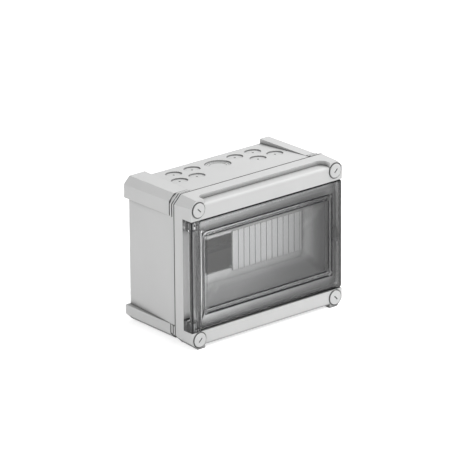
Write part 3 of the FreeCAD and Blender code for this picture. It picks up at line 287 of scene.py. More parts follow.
# millimetres; depths run from the front plane towards the wall
doorSizes = {
    "left": -108.0, "right": 120.0, "low": 22.8, "high": 164.3, "frameRadius": 4.0,
    "windowLeft": -99.5, "windowRight": 104.5, "windowLow": 43.7, "windowHigh": 143.8, "windowRadius": 5.0,
    "roll": 3.5, "depth": 12.0, "wall": 2.4, "windowSetback": 1.0, "rib": 11.4,
    "edgeRound": 1.1, "edgeFall": 0.35, "softRound": 0.3, "minRadius": 0.6, "frontPlane": -64.3,
    # the front face has its own window edges, and its right side is lifted and flatter
    "faceLeft": -97.0, "faceRight": 100.6, "faceLow": 47.7,
    "rightLift": 2.6, "liftStart": 9.0, "liftSpan": 8.0,
    # rings of the front: the roll, the valley as (share from the foot, depth), the slope up to the window
    # as (inset, depth below its plane), then the window itself
    "rollShares": (0.14, 0.20, 0.30, 0.36, 0.5, 0.65, 0.8, 0.95, 1.1, 1.22, 1.32, 1.4), "footShare": 1.58,
    "valley": ((-0.1, 0.9), (-0.08, 1.3), (0.07, 1.75), (0.09, 1.7), (0.3, 1.4)),
    "slope": ((0.1, 0.15), (0.4, 0.03), (0.6, 0.0), (2.2, 0.0), (2.5, 0.0)),
    "windowSteps": (5.0, 14.0, 24.0, 34.0, 44.0), "backInset": 1.5, "backRound": 0.8, "backStep": 0.2,
    "rollSteps": 9, "edgeSteps": 5, "cornerSteps": 9, "sideSteps": (5, 10, 5, 10),
    "bandLeft": -120.0, "bandRight": -106.0, "bandThick": 4.4, "bandBevel": 0.5,
    "lugHeight": 13.0, "lugFront": 0.4, "lugSteps": 8, "lugBevel": 0.4,
    "hingeX": -114.0, "hingeDepth": 6.0, "hingeRadius": 11.7,
    "markRadius": 1.25, "markSpacing": 4.0, "markShift": 1.0, "markEnd": 4.8,
    "markRise": 0.05, "markDepth": 0.3, "markSides": 14,
    "catchHeight": 18.0, "catchRight": 114.05, "catchThick": 1.8, "catchFront": 1.5, "catchBack": 18.1,
    "catchBevel": 0.3, "bevelSteps": 3, "bevelAngle": 0.6, "smoothAngle": 32,
}


def ease(amount):
    amount = min(max(amount, 0.0), 1.0)
    return amount * amount * (3 - 2 * amount)


def betweenPoints(start, stop, count):
    return [tuple(a + (b - a) * i / count for a, b in zip(start, stop)) for i in range(1, count)]


def doorRing(share, inset, depth, inFront=False):
    # share 0 is the frame's edge, 1 its crest and 2 the window's edge
    d = doorSizes
    half = share / 2
    edges = ("faceLeft", "faceRight", "faceLow") if inFront else ("windowLeft", "windowRight", "windowLow")
    left, right, low = (d[edge] for edge in edges)
    x0 = d["left"] + (left - d["left"]) * half + inset
    x1 = d["right"] + (right - d["right"]) * half - inset
    z0 = d["low"] + (low - d["low"]) * half + inset
    z1 = d["high"] + (d["windowHigh"] - d["high"]) * half - inset
    radius = max(d["frameRadius"] + (d["windowRadius"] - d["frameRadius"]) * half - inset, d["minRadius"])
    outline = []
    corners = ((x1 - radius, z1 - radius), (x0 + radius, z1 - radius), (x0 + radius, z0 + radius),
               (x1 - radius, z0 + radius))
    for turn, (centreX, centreZ) in enumerate(corners):
        arc = []
        for step in range(d["cornerSteps"] + 1):
            angle = math.radians(90 * turn + 90 * step / d["cornerSteps"])
            arc.append((centreX + radius * math.cos(angle), centreZ + radius * math.sin(angle)))
        if outline:
            outline += betweenPoints(outline[-1], arc[0], d["sideSteps"][turn])
        outline += arc
    outline += betweenPoints(outline[-1], outline[0], d["sideSteps"][0])
    lifted = share < 1 and depth < d["roll"] + 3
    points = []
    for x, z in outline:
        lift = d["rightLift"] * ease((x - d["right"] + d["liftStart"]) / d["liftSpan"]) if lifted else 0
        points.append((x, depth - lift * depth / d["roll"] + d["frontPlane"], z))
    return points


def rollDepth(share):
    return doorSizes["roll"] * (1 - share) ** 2


def arcSteps(count):
    angles = [math.pi / 2 * i / count for i in range(count + 1)]
    return [(math.sin(angle), 1 - math.cos(angle)) for angle in angles]


def doorRings():
    # every ring as (share, inset, depth, in front), from the back edge round the front and back again
    d = doorSizes
    rings = [(0, 0, d["depth"])]
    for across, along in arcSteps(d["edgeSteps"]):
        depth = d["roll"] + d["edgeRound"] * (1 - across) - d["edgeFall"] * along
        rings.append((0, d["edgeRound"] * along, depth))
    for share in d["rollShares"]:
        rings.append((share, 0, rollDepth(share), True))
    for offset, sunk in d["valley"]:
        rings.append((d["footShare"] + offset, 0, sunk, True))
    for inset, above in d["slope"]:
        rings.append((2, inset, d["windowSetback"] + above, True))
    for inset in d["windowSteps"]:
        rings.append((2, inset, d["windowSetback"], True))
    front = len(rings)
    # the back of the window, its rib and the underside of the roll
    inner = d["windowSetback"] + d["wall"]
    soft = d["softRound"]
    for inset in d["windowSteps"][::-1]:
        rings.append((2, inset + d["backInset"], inner))
    rings.append((2, d["wall"] + d["backRound"], inner))
    rings.append((2, d["wall"] + d["backStep"], inner + d["backStep"]))
    rings.append((2, d["wall"], inner + d["backRound"]))
    rings.append((2, d["wall"], d["rib"] - soft))
    rings.append((2, d["wall"] - soft, d["rib"]))
    rings.append((2, soft, d["rib"]))
    rings.append((2, 0, d["rib"] - soft))
    rings.append((2, 0, d["roll"] + d["wall"] + 2 * soft))
    steps = d["rollSteps"]
    for i in range(steps + 1):
        share = 2 - 2 * i / steps
        inset = d["wall"] * max(1 - share, 0)
        further = d["backStep"] if i in (0, steps) else 0
        rings.append((share, inset, rollDepth(share) + d["wall"] + further))
    rings.append((0, d["wall"], d["roll"] + d["wall"] + 3 * soft))
    rings.append((0, d["wall"], d["depth"] - soft))
    rings.append((0, d["wall"] - soft, d["depth"]))
    rings.append((0, soft, d["depth"]))
    return rings, front


def meshObject(name, build, finish):
    work = bmesh.new()
    build(work)
    mesh = bpy.data.meshes.new(name)
    work.to_mesh(mesh)
    work.free()
    mesh.materials.append(finish)
    made = bpy.data.objects.new(name, mesh)
    scene.collection.objects.link(made)
    return made


def buildDoorPanel(work):
    rings, front = doorRings()
    loops = [[work.verts.new([c * mm for c in point]) for point in doorRing(*ring)] for ring in rings]
    count = len(loops[0])
    for i, loop in enumerate(loops):
        if i == front - 1:
            continue
        after = loops[(i + 1) % len(loops)]
        for j in range(count):
            k = (j + 1) % count
            work.faces.new((loop[j], loop[k], after[k], after[j]))
    work.faces.new(loops[front - 1])
    work.faces.new(loops[front][::-1])
    bmesh.ops.recalc_face_normals(work, faces=work.faces)


def addPrism(work, outline, low, high, bevel):
    # upright prism on a plan outline of (x, depth) points
    d = doorSizes
    ends = [[work.verts.new((x * mm, (depth + d["frontPlane"]) * mm, z * mm)) for x, depth in outline]
            for z in (low, high)]
    faces = [work.faces.new(ends[0]), work.faces.new(ends[1][::-1])]
    for i in range(len(outline)):
        j = (i + 1) % len(outline)
        faces.append(work.faces.new((ends[0][j], ends[0][i], ends[1][i], ends[1][j])))
    bmesh.ops.recalc_face_normals(work, faces=faces)
    edges = {e for f in faces for e in f.edges if e.calc_face_angle(0) > d["bevelAngle"]}
    bmesh.ops.bevel(
        work, geom=list(edges), offset=bevel * mm, segments=d["bevelSteps"], profile=0.5, affect="EDGES")


def addMark(work, centreX, centreZ):
    # a round mould mark on the hinge band
    d = doorSizes
    sides = d["markSides"]
    rims = []
    for depth in (-d["markRise"], d["markDepth"]):
        rim = []
        for step in range(sides):
            angle = 2 * math.pi * step / sides
            x = centreX + d["markRadius"] * math.cos(angle)
            z = centreZ + d["markRadius"] * math.sin(angle)
            rim.append(work.verts.new((x * mm, (d["frontPlane"] + depth) * mm, z * mm)))
        rims.append(rim)
    faces = [work.faces.new(rims[0]), work.faces.new(rims[1][::-1])]
    for here in range(sides):
        after = (here + 1) % sides
        faces.append(work.faces.new((rims[0][after], rims[0][here], rims[1][here], rims[1][after])))
    bmesh.ops.recalc_face_normals(work, faces=faces)


def bandOutline():
    # extra points near both edges carry the painted shade lines
    d = doorSizes
    across = [d["bandLeft"] + inset for inset in (0, 0.9, 1.2)]
    across += [d["left"] - inset for inset in (1.5, 0.8, 0.4)] + [d["bandRight"]]
    return [(x, 0.0) for x in across] + [(x, d["bandThick"]) for x in across[::-1]]


def lugOutline():
    d = doorSizes
    half = d["hingeX"] - d["bandLeft"]
    reach = math.sqrt(d["hingeRadius"] ** 2 - half ** 2)
    spread = math.atan2(half, reach)
    outline = [(d["bandLeft"], d["lugFront"]), (d["bandLeft"] + 2 * half, d["lugFront"])]
    for step in range(d["lugSteps"] + 1):
        angle = spread - 2 * spread * step / d["lugSteps"]
        outline.append((d["hingeX"] + d["hingeRadius"] * math.sin(angle),
                        d["hingeDepth"] + d["hingeRadius"] * math.cos(angle)))
    return outline


def joinSolids(name, whole, others):
    # fuses the pieces into one closed mesh
    for other in others:
        union = whole.modifiers.new(name, "BOOLEAN")
        union.operation = "UNION"
        union.solver = "EXACT"
        union.object = other
    evaluated = whole.evaluated_get(bpy.context.evaluated_depsgraph_get())
    joined = bpy.data.meshes.new_from_object(evaluated)
    joined.name = name
    whole.modifiers.clear()
    whole.data = joined
    for other in others:
        bpy.data.objects.remove(other)


smokeAndShade = {
    # density at the frame's edge, at its crest and beside the window, for each side: the real smoke tint
    # with painted shade and painted highlight from the roll's curve, and painted shade growing to the right
    "left": (0.34, 0.42, 0.34),
    "right": (0.46, 0.46, 0.0),
    "low": (0.1, 0.41, -0.35),
    "high": (-0.2, 0.31, 0.8),
    "blend": 0.6, "rightward": 0.2,
    # how far the outermost edge reaches, and its density in front and on the skirt behind it, dark as
    # painted shade of the gap round the door
    "edgeShare": {"left": 0.1, "right": 0.1, "low": 0.07, "high": 0.27},
    "edge": {"left": 0.4, "right": 0.95, "low": 1.0, "high": 1.0},
    "skirt": {"left": 0.18, "right": 0.85, "low": 0.9, "high": 0.9},
    "skirtStart": 2.0,
    # hinge band, its lugs and the catch
    "band": 0.28, "bandClear": 0.5, "bandEdge": 0.8, "bandEdgeWidth": 1.0, "bandLineDepth": 0.9,
    "bandEndLine": (0.02, 0.55),
    "lugClear": 0.2, "lugSplit": 100.0, "highLug": 0.6, "lowLug": 0.94, "catch": 0.3,
    # window: an even smoke base, then painted shade to the right and towards the bottom, where the bay
    # behind lies in shade
    "windowShare": 1.93, "window": 0.15, "windowRightward": 0.09, "rib": 0.24, "ribClear": 0.4,
    "windowRight": 0.81, "rightStart": 49.0, "rightSpan": 38.0,
    "windowLow": 0.58, "lowStart": 92.0, "lowSpan": 26.0,
    "windowLowRight": 0.12, "lowRightStart": -60.0, "lowRightSpan": 100.0,
    # painted shade lines at the foot of the roll and round the window
    "line": 1.0, "leftLine": 0.62, "opaque": 0.99,
    "footLine": (-0.085, 0.075), "footLineDepth": 2.4, "windowLine": (0.55, 2.3), "windowLineDepth": 1.5,
}


def hingeDensity(x, depth, z):
    d = doorSizes
    fromEnd = min(z - d["low"], d["high"] - z)
    nearFront = depth < smokeAndShade["bandLineDepth"]
    endStart, endStop = smokeAndShade["bandEndLine"]
    onMark = depth < -d["markRise"] / 2
    # the marks get full density; the band's ends and its front left edge get painted shade lines
    if onMark or endStart < fromEnd < endStop or (x - d["bandLeft"] < smokeAndShade["bandEdgeWidth"] and nearFront):
        return smokeAndShade["line"]
    if fromEnd < d["lugHeight"] + smokeAndShade["lugClear"] and depth > d["bandThick"] + smokeAndShade["lugClear"]:
        return smokeAndShade["highLug" if z > smokeAndShade["lugSplit"] else "lowLug"]
    # painted shade along both edges of the band
    nearEdge = min(x - d["bandLeft"], d["left"] - x) < smokeAndShade["bandEdgeWidth"]
    return smokeAndShade["bandEdge" if nearEdge else "band"]


def windowDensity(x, depth, z):
    d = doorSizes
    if depth > d["windowSetback"] + d["wall"] + smokeAndShade["ribClear"]:
        return smokeAndShade["rib"]
    insets = (x - d["faceLeft"], d["faceRight"] - x, z - d["faceLow"], d["windowHigh"] - z)
    within = min(insets)
    lineStart, lineStop = smokeAndShade["windowLine"]
    if lineStart < within < lineStop and depth < smokeAndShade["windowLineDepth"]:
        return smokeAndShade["leftLine" if within == insets[0] else "line"]
    base = smokeAndShade["window"] + smokeAndShade["windowRightward"] * x / 100
    right = smokeAndShade["windowRight"] * ease((x - smokeAndShade["rightStart"]) / smokeAndShade["rightSpan"])
    deeper = smokeAndShade["windowLowRight"] * ease((x - smokeAndShade["lowRightStart"]) / smokeAndShade["lowRightSpan"])
    low = (smokeAndShade["windowLow"] + deeper) * ease((smokeAndShade["lowStart"] - z) / smokeAndShade["lowSpan"])
    return max(base, right, low)


def frameDensity(x, share, shares):
    # each side's own run from edge to window, blended where two sides meet
    total = weights = 0.0
    for sideName, own in shares.items():
        edge, crest, inner = smokeAndShade[sideName]
        amount = edge + (crest - edge) * ease(share) + (inner - crest) * ease(share - 1)
        weight = max(1 - (own - share) / smokeAndShade["blend"], 0.0) ** 2
        total += amount * weight
        weights += weight
    return total / weights + smokeAndShade["rightward"] * x / 100


def smokeAndShadeDensity(x, depth, z):
    # how dark the moulding is at a place, in millimetres: the smoke tint with painted shade and painted
    # highlight
    d = doorSizes
    if x < d["left"] - smokeAndShade["bandClear"]:
        return hingeDensity(x, depth, z)
    if depth > d["depth"] + smokeAndShade["lugClear"]:
        return smokeAndShade["catch"]
    shares = {
        "left": 2 * (x - d["left"]) / (d["faceLeft"] - d["left"]),
        "right": 2 * (d["right"] - x) / (d["right"] - d["faceRight"]),
        "low": 2 * (z - d["low"]) / (d["faceLow"] - d["low"]),
        "high": 2 * (d["high"] - z) / (d["high"] - d["windowHigh"]),
    }
    nearest = min(shares, key=shares.get)
    share = shares[nearest]
    lineStart, lineStop = smokeAndShade["footLine"]
    if lineStart < share - d["footShare"] < lineStop and depth < smokeAndShade["footLineDepth"]:
        return smokeAndShade["leftLine" if nearest == "left" else "line"]
    if share > smokeAndShade["windowShare"]:
        return windowDensity(x, depth, z)
    if share < smokeAndShade["edgeShare"][nearest]:
        return smokeAndShade["edge" if depth < d["roll"] + smokeAndShade["skirtStart"] else "skirt"][nearest]
    return frameDensity(x, share, shares)


def paintDensity(made):
    mesh = made.data
    layer = mesh.attributes.new("smokeAndShadeTone", "FLOAT", "POINT")
    for vertex, place in zip(layer.data, mesh.vertices):
        x, y, z = (c / mm for c in place.co)
        vertex.value = smokeAndShadeDensity(x, y - doorSizes["frontPlane"], z)
    # faces of full density get the near-black finish: the painted shade lines of the frame, the window and
    # the hinge band
    mesh.materials.append(finishes["paintedShadeLine"])
    for face in mesh.polygons:
        if min(layer.data[i].value for i in face.vertices) > smokeAndShade["opaque"]:
            face.material_index = len(mesh.materials) - 1


def smoothByAngle(made, degrees):
    made.data.shade_smooth()
    made.data.set_sharp_from_angle(angle=math.radians(degrees))


def buildDoor():
    d = doorSizes
    coat = finishes["smokedDoor"]
    door = meshObject("doorMoulding", buildDoorPanel, coat)
    prisms = [("hingeBand", bandOutline(), d["low"], d["high"], d["bandBevel"])]
    for low in (d["low"], d["high"] - d["lugHeight"]):
        prisms.append(("lug", lugOutline(), low, low + d["lugHeight"], d["lugBevel"]))
    catchLeft = d["catchRight"] - d["catchThick"]
    catchOutline = [(catchLeft, d["catchFront"]), (d["catchRight"], d["catchFront"]),
                    (d["catchRight"], d["catchBack"]), (catchLeft, d["catchBack"])]
    middle = (d["low"] + d["high"]) / 2
    half = d["catchHeight"] / 2
    prisms.append(("catch", catchOutline, middle - half, middle + half, d["catchBevel"]))
    parts = []
    for name, *shape in prisms:
        parts.append(meshObject(name, lambda work, shape=shape: addPrism(work, *shape), coat))
    for z in (d["low"] + d["markEnd"], d["high"] - d["markEnd"]):
        for hand in (-1, 1):
            centre = (d["hingeX"] + d["markShift"] + hand * d["markSpacing"] / 2, z)
            parts.append(meshObject("mark", lambda work, centre=centre: addMark(work, *centre), coat))
    joinSolids("doorMoulding", door, parts)
    paintDensity(door)
    smoothByAngle(door, d["smoothAngle"])
    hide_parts("door")
    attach(door, "door")


buildDoor()
print("door built")


def socketIds(group):
    return {item.name: item.identifier for item in group.interface.items_tree if item.in_out == "INPUT"}


def bakePiece(name, group, values):
    # runs a geometry tree with its sizes and keeps the result as a plain mesh
    holder = bpy.data.objects.new(name, bpy.data.meshes.new(name))
    scene.collection.objects.link(holder)
    modifier = holder.modifiers.new(name, "NODES")
    modifier.node_group = group
    ids = socketIds(group)
    for label, amount in values.items():
        modifier[ids[label]] = amount
    evaluated = holder.evaluated_get(bpy.context.evaluated_depsgraph_get())
    baked = bpy.data.meshes.new_from_object(evaluated)
    baked.name = name
    holder.modifiers.clear()
    holder.data = baked
    return holder


def geometryTree(name, inputs):
    group = bpy.data.node_groups.new(name, "GeometryNodeTree")
    for label, kind, start in inputs:
        socket = group.interface.new_socket(name=label, in_out="INPUT", socket_type=kind)
        if start is not None:
            socket.default_value = start
    group.interface.new_socket(name="Geometry", in_out="OUTPUT", socket_type="NodeSocketGeometry")
    return group, group.nodes.new("NodeGroupInput"), group.nodes.new("NodeGroupOutput")


def mathNode(group, operation, first, second):
    node = addNode(group, "ShaderNodeMath", operation=operation)
    for index, source in enumerate((first, second)):
        if isinstance(source, (int, float)):
            node.inputs[index].default_value = source
        else:
            group.links.new(source, node.inputs[index])
    return node.outputs[0]


def vectorNode(group, x, y, z):
    node = addNode(group, "ShaderNodeCombineXYZ")
    for index, source in enumerate((x, y, z)):
        if isinstance(source, (int, float)):
            node.inputs[index].default_value = source
        else:
            group.links.new(source, node.inputs[index])
    return node.outputs[0]


def placedBox(group, size, place):
    box = addNode(group, "GeometryNodeMeshCube")
    moved = addNode(group, "GeometryNodeTransform")
    wire(group, (size, box.inputs["Size"]), (box.outputs["Mesh"], moved.inputs["Geometry"]),
         (place, moved.inputs["Translation"]))
    return moved.outputs["Geometry"]


def finishTree(group, stop, pieces):
    # joins the pieces, makes instances real and sets the material
    joined = addNode(group, "GeometryNodeJoinGeometry")
    for piece in pieces[::-1]:
        group.links.new(piece, joined.inputs[0])
    real = addNode(group, "GeometryNodeRealizeInstances")
    coat = addNode(group, "GeometryNodeSetMaterial")
    wire(group, (joined.outputs[0], real.inputs[0]), (real.outputs[0], coat.inputs["Geometry"]),
         (coat.outputs["Geometry"], stop.inputs["Geometry"]))
    return coat


def buildStripTree():
    # a thin plate with one raised tile per half module; the gaps between the tiles are the score lines
    length = "NodeSocketFloat"
    group, start, stop = geometryTree("scoredStrip", [
        ("Pitch", length, 0.009), ("Count", "NodeSocketInt", 12), ("Score Width", length, 0.0007),
        ("Score Depth", length, 0.0006), ("Thickness", length, 0.0018), ("Height", length, 0.0512),
        ("Overlap", length, 0.0026), ("Lip", length, 0.005), ("Lip Thickness", length, 0.0016),
        ("Lip Span", length, 0.0458), ("Lip Clearance", length, 0.0011), ("Tile Sink", length, 0.0004),
        ("Left", length, -0.0245), ("Front", length, -0.0261), ("Middle", length, 0.096),
        ("Material", "NodeSocketMaterial", None),
    ])
    size = start.outputs
    deep = mathNode(group, "SUBTRACT", size["Thickness"], size["Score Depth"])
    run = mathNode(group, "MULTIPLY", size["Pitch"], size["Count"])
    full = mathNode(group, "ADD", run, size["Overlap"])
    back = mathNode(group, "ADD", size["Front"], size["Thickness"])
    plateX = mathNode(group, "ADD", size["Left"], mathNode(group, "MULTIPLY", full, 0.5))
    plateY = mathNode(group, "SUBTRACT", back, mathNode(group, "MULTIPLY", deep, 0.5))
    plate = placedBox(
        group, vectorNode(group, full, deep, size["Height"]),
        vectorNode(group, plateX, plateY, size["Middle"]))
    tile = addNode(group, "GeometryNodeMeshCube")
    tileDeep = mathNode(group, "ADD", size["Score Depth"], size["Tile Sink"])
    tileWide = mathNode(group, "SUBTRACT", size["Pitch"], size["Score Width"])
    wire(group, (vectorNode(group, tileWide, tileDeep, size["Height"]), tile.inputs["Size"]))
    row = addNode(group, "GeometryNodeMeshLine")
    first = mathNode(group, "ADD", size["Left"], mathNode(group, "MULTIPLY", size["Pitch"], 0.5))
    tileMiddle = mathNode(group, "ADD", size["Front"], mathNode(group, "MULTIPLY", tileDeep, 0.5))
    wire(group, (size["Count"], row.inputs["Count"]),
         (vectorNode(group, first, tileMiddle, size["Middle"]), row.inputs["Start Location"]),
         (vectorNode(group, size["Pitch"], 0.0, 0.0), row.inputs["Offset"]))
    tiles = addNode(group, "GeometryNodeInstanceOnPoints")
    wire(
        group,
        (row.outputs["Mesh"], tiles.inputs["Points"]),
        (tile.outputs["Mesh"], tiles.inputs["Instance"]),
    )
    pastRun = mathNode(group, "ADD", run, mathNode(group, "MULTIPLY", size["Overlap"], 0.5))
    endX = mathNode(group, "ADD", size["Left"], pastRun)
    end = placedBox(
        group, vectorNode(group, size["Overlap"], tileDeep, size["Height"]),
        vectorNode(group, endX, tileMiddle, size["Middle"]))
    # two lips behind the plate hold it in the opening
    lipX = mathNode(group, "ADD", size["Left"], mathNode(group, "MULTIPLY", run, 0.5))
    lipY = mathNode(group, "ADD", back, mathNode(group, "MULTIPLY", size["Lip"], 0.5))
    lipLong = mathNode(group, "SUBTRACT", run, size["Lip Clearance"])
    lipApart = mathNode(group, "SUBTRACT", size["Lip Span"], size["Lip Thickness"])
    offset = mathNode(group, "MULTIPLY", lipApart, 0.5)
    lips = []
    for operation in ("ADD", "SUBTRACT"):
        lipZ = mathNode(group, operation, size["Middle"], offset)
        lips.append(placedBox(
            group, vectorNode(group, lipLong, size["Lip"], size["Lip Thickness"]),
            vectorNode(group, lipX, lipY, lipZ)))
    coat = finishTree(group, stop, [plate, tiles.outputs["Instances"], end, *lips])
    wire(group, (size["Material"], coat.inputs["Material"]))
    return group


def buildScrewTree():
    # a row of slotted cheese-head screws that point at the wall
    length = "NodeSocketFloat"
    group, start, stop = geometryTree("slottedScrews", [
        ("Count", "NodeSocketInt", 2), ("Spacing", length, 0.02), ("First", length, 0.0),
        ("Front", length, 0.0), ("Height", length, 0.1),
        ("Head Radius", length, 0.004), ("Head Height", length, 0.0024),
        ("Shank Radius", length, 0.002), ("Shank Length", length, 0.01), ("Slot Width", length, 0.0009),
        ("Slot Depth", length, 0.001), ("Slot Turn", length, 0.6), ("Material", "NodeSocketMaterial", None),
    ])
    size = start.outputs
    parts = []
    for radius, tall, startAt, corners in (
        (size["Head Radius"], size["Head Height"], 0.0, 40),
        (size["Shank Radius"], size["Shank Length"], size["Head Height"], 24),
    ):
        drum = addNode(group, "GeometryNodeMeshCylinder")
        drum.inputs["Vertices"].default_value = corners
        moved = addNode(group, "GeometryNodeTransform")
        moved.inputs["Rotation"].default_value = (math.pi / 2, 0, 0)
        centre = mathNode(group, "ADD", mathNode(group, "MULTIPLY", tall, 0.5), startAt)
        wire(group, (radius, drum.inputs["Radius"]), (tall, drum.inputs["Depth"]),
             (drum.outputs["Mesh"], moved.inputs["Geometry"]),
             (vectorNode(group, 0.0, centre, 0.0), moved.inputs["Translation"]))
        parts.append(moved.outputs["Geometry"])
    slotBox = addNode(group, "GeometryNodeMeshCube")
    slotMoved = addNode(group, "GeometryNodeTransform")
    wide = mathNode(group, "MULTIPLY", size["Head Radius"], 3.0)
    deep = mathNode(group, "MULTIPLY", size["Slot Depth"], 2.0)
    wire(group, (vectorNode(group, wide, deep, size["Slot Width"]), slotBox.inputs["Size"]),
         (slotBox.outputs["Mesh"], slotMoved.inputs["Geometry"]),
         (vectorNode(group, 0.0, size["Slot Turn"], 0.0), slotMoved.inputs["Rotation"]))
    carve = addNode(group, "GeometryNodeMeshBoolean", operation="DIFFERENCE")
    wire(
        group,
        (parts[0], carve.inputs["Mesh 1"]),
        (slotMoved.outputs["Geometry"], carve.inputs["Mesh 2"]),
    )
    screw = addNode(group, "GeometryNodeJoinGeometry")
    wire(group, (carve.outputs["Mesh"], screw.inputs[0]), (parts[1], screw.inputs[0]))
    row = addNode(group, "GeometryNodeMeshLine")
    wire(group, (size["Count"], row.inputs["Count"]),
         (vectorNode(group, size["First"], size["Front"], size["Height"]), row.inputs["Start Location"]),
         (vectorNode(group, size["Spacing"], 0.0, 0.0), row.inputs["Offset"]))
    screws = addNode(group, "GeometryNodeInstanceOnPoints")
    wire(
        group,
        (row.outputs["Mesh"], screws.inputs["Points"]),
        (screw.outputs[0], screws.inputs["Instance"]),
    )
    coat = finishTree(group, stop, [screws.outputs["Instances"]])
    wire(group, (size["Material"], coat.inputs["Material"]))
    return group


jointLip = {
    # the black lip that fills the joint gap and stands in for its shade, as insets from the cover's outline
    # and depths from the front
    "outer": -0.3, "inner": 2.75, "front": 32.02, "back": 32.78,
    "halfWidth": 120.0, "height": 190.0, "cutLeft": 11.0, "cutRight": 5.0, "cutShrink": 0.59,
    # the gasket in its groove, which steps round the pillars
    "gasketFront": 29.0, "gasketBack": 32.0, "gasketOuter": 3.2, "gasketInner": 6.2,
    "leftPillar": 31.2, "rightPillar": 20.5, "lowPillar": 22.5, "highPillar": 28.4,
}


def shadeLipLoop(inset, depth):
    # the cover's outline at the joint, stepped in
    j = jointLip
    x, low, high = j["halfWidth"] - inset, inset, j["height"] - inset
    y = depth + doorSizes["frontPlane"]
    left, right = (cut - inset * j["cutShrink"] for cut in (j["cutLeft"], j["cutRight"]))
    return [(-x + left, y, low), (x - right, y, low), (x, y, low + right), (x, y, high - right),
            (x - right, y, high), (-x + left, y, high), (-x, y, high - left), (-x, y, low + left)]


def gasketLoop(inset, depth):
    j = jointLip
    x, low, high = j["halfWidth"] - inset, inset, j["height"] - inset
    y = depth + doorSizes["frontPlane"]
    left, right = j["leftPillar"] - x, x - j["rightPillar"]
    lowStep, highStep = j["lowPillar"] + low, high - j["highPillar"]
    return [(left, y, low), (right, y, low), (right, y, lowStep), (x, y, lowStep), (x, y, highStep),
            (right, y, highStep), (right, y, high), (left, y, high), (left, y, highStep), (-x, y, highStep),
            (-x, y, lowStep), (left, y, lowStep)]


def addRing(work, loop, outer, inner, front, back):
    loops = [[work.verts.new([c * mm for c in point]) for point in loop(inset, depth)]
             for inset, depth in ((outer, front), (outer, back), (inner, back), (inner, front))]
    count = len(loops[0])
    faces = []
    for i in range(4):
        here, after = loops[i], loops[(i + 1) % 4]
        for k in range(count):
            m = (k + 1) % count
            faces.append(work.faces.new((here[k], here[m], after[m], after[k])))
    bmesh.ops.recalc_face_normals(work, faces=faces)


def buildGasket(work):
    j = jointLip
    addRing(work, gasketLoop, j["gasketOuter"], j["gasketInner"], j["gasketFront"], j["gasketBack"])
    # the black lip is painted shade of the joint gap
    addRing(work, shadeLipLoop, j["outer"], j["inner"], j["front"], j["back"])


gasket = meshObject("gasketWithShadeLip", buildGasket, finishes["sealRubber"])
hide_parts("cover_gasket")
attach(gasket, "housing")
print("gasket built")


# metres, as the inputs of both trees
stripSizes = {
    "Pitch": 0.009, "Count": 12, "Score Width": 0.0008, "Score Depth": 0.0007,
    "Left": -0.0245, "Front": -0.0261, "Middle": 0.096,
}
barScrew = {
    "Count": 5, "Spacing": 0.0112, "Front": 0.0055, "Height": 0.148,
    "Head Radius": 0.0022, "Head Height": 0.003, "Shank Radius": 0.0018, "Shank Length": 0.0014,
    "Slot Width": 0.0007,
}
screwRows = {
    "rail_screws": {
        "Count": 2, "Spacing": 0.125, "First": -0.0625, "Front": 0.0238, "Height": 0.096,
        "Shank Length": 0.013,
    },
    "carrier_screws": {
        "Count": 2, "Spacing": 0.06, "First": -0.03, "Front": 0.0157, "Height": 0.148,
        "Shank Length": 0.0116, "Slot Turn": -0.4,
    },
    "neutral_screws": {**barScrew, "First": -0.0544, "Slot Turn": 0.3},
    "earth_screws": {**barScrew, "First": 0.0096, "Slot Turn": 1.1},
}


def placePiece(name, group, values, finishName):
    piece = bakePiece(name + "Piece", group, {**values, "Material": finishes[finishName]})
    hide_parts(name)
    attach(piece, "housing")


placePiece("blanking_strip", buildStripTree(), stripSizes, "blankPlastic")
screwTree = buildScrewTree()
for rowName, rowSizes in screwRows.items():
    placePiece(rowName, screwTree, rowSizes, "zincSteel")
print("strip and", len(screwRows), "screw rows built")


nodesByFinish = {
    "housingPlastic": ("base_box", "front_cover"),
    "closurePlastic": (
        "closure_top_left", "closure_top_right", "closure_bottom_left", "closure_bottom_right",
    ),
    "blankPlastic": ("fixing_plugs",),
    "paleRubber": ("closure_seals", "door_seal"),
    "zincSteel": ("hinge_pin_upper", "hinge_pin_lower", "din_rail"),
    "barBrass": ("neutral_bar", "earth_bar"),
    "carrierPlastic": ("terminal_carrier",),
}
for finishName, nodeNames in nodesByFinish.items():
    for nodeName in nodeNames:
        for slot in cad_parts[nodeName].material_slots:
            slot.material = finishes[finishName]
print("finishes set on", sum(len(nodeNames) for nodeNames in nodesByFinish.values()), "nodes")


studio = {
    "floorSize": 14.0, "floorTone": 0.9, "floorGlow": 0.7, "ambient": 0.24, "aim": (0, 0, 0.09),
    "lamps": {
        "top": {"power": 31.0, "size": 1.8, "place": (0.95, -0.5, 1.65)},
        "front": {"power": 6.3, "size": 1.4, "place": (-0.3, -2.1, 0.6)},
        "side": {"power": 19.3, "size": 1.6, "place": (-2.1, -0.4, 0.2)},
    },
}


def seenByEye(tree):
    # 1 for rays that come from the camera, a mirror or the smoked door, 0 for light on the piece
    rays = addNode(tree, "ShaderNodeLightPath")
    direct = addNode(tree, "ShaderNodeMath", operation="MAXIMUM")
    through = addNode(tree, "ShaderNodeMath", operation="MAXIMUM")
    wire(
        tree,
        (rays.outputs["Is Camera Ray"], direct.inputs[0]),
        (rays.outputs["Is Glossy Ray"], direct.inputs[1]),
        (direct.outputs[0], through.inputs[0]),
        (rays.outputs["Is Transmission Ray"], through.inputs[1]),
    )
    return through.outputs[0]


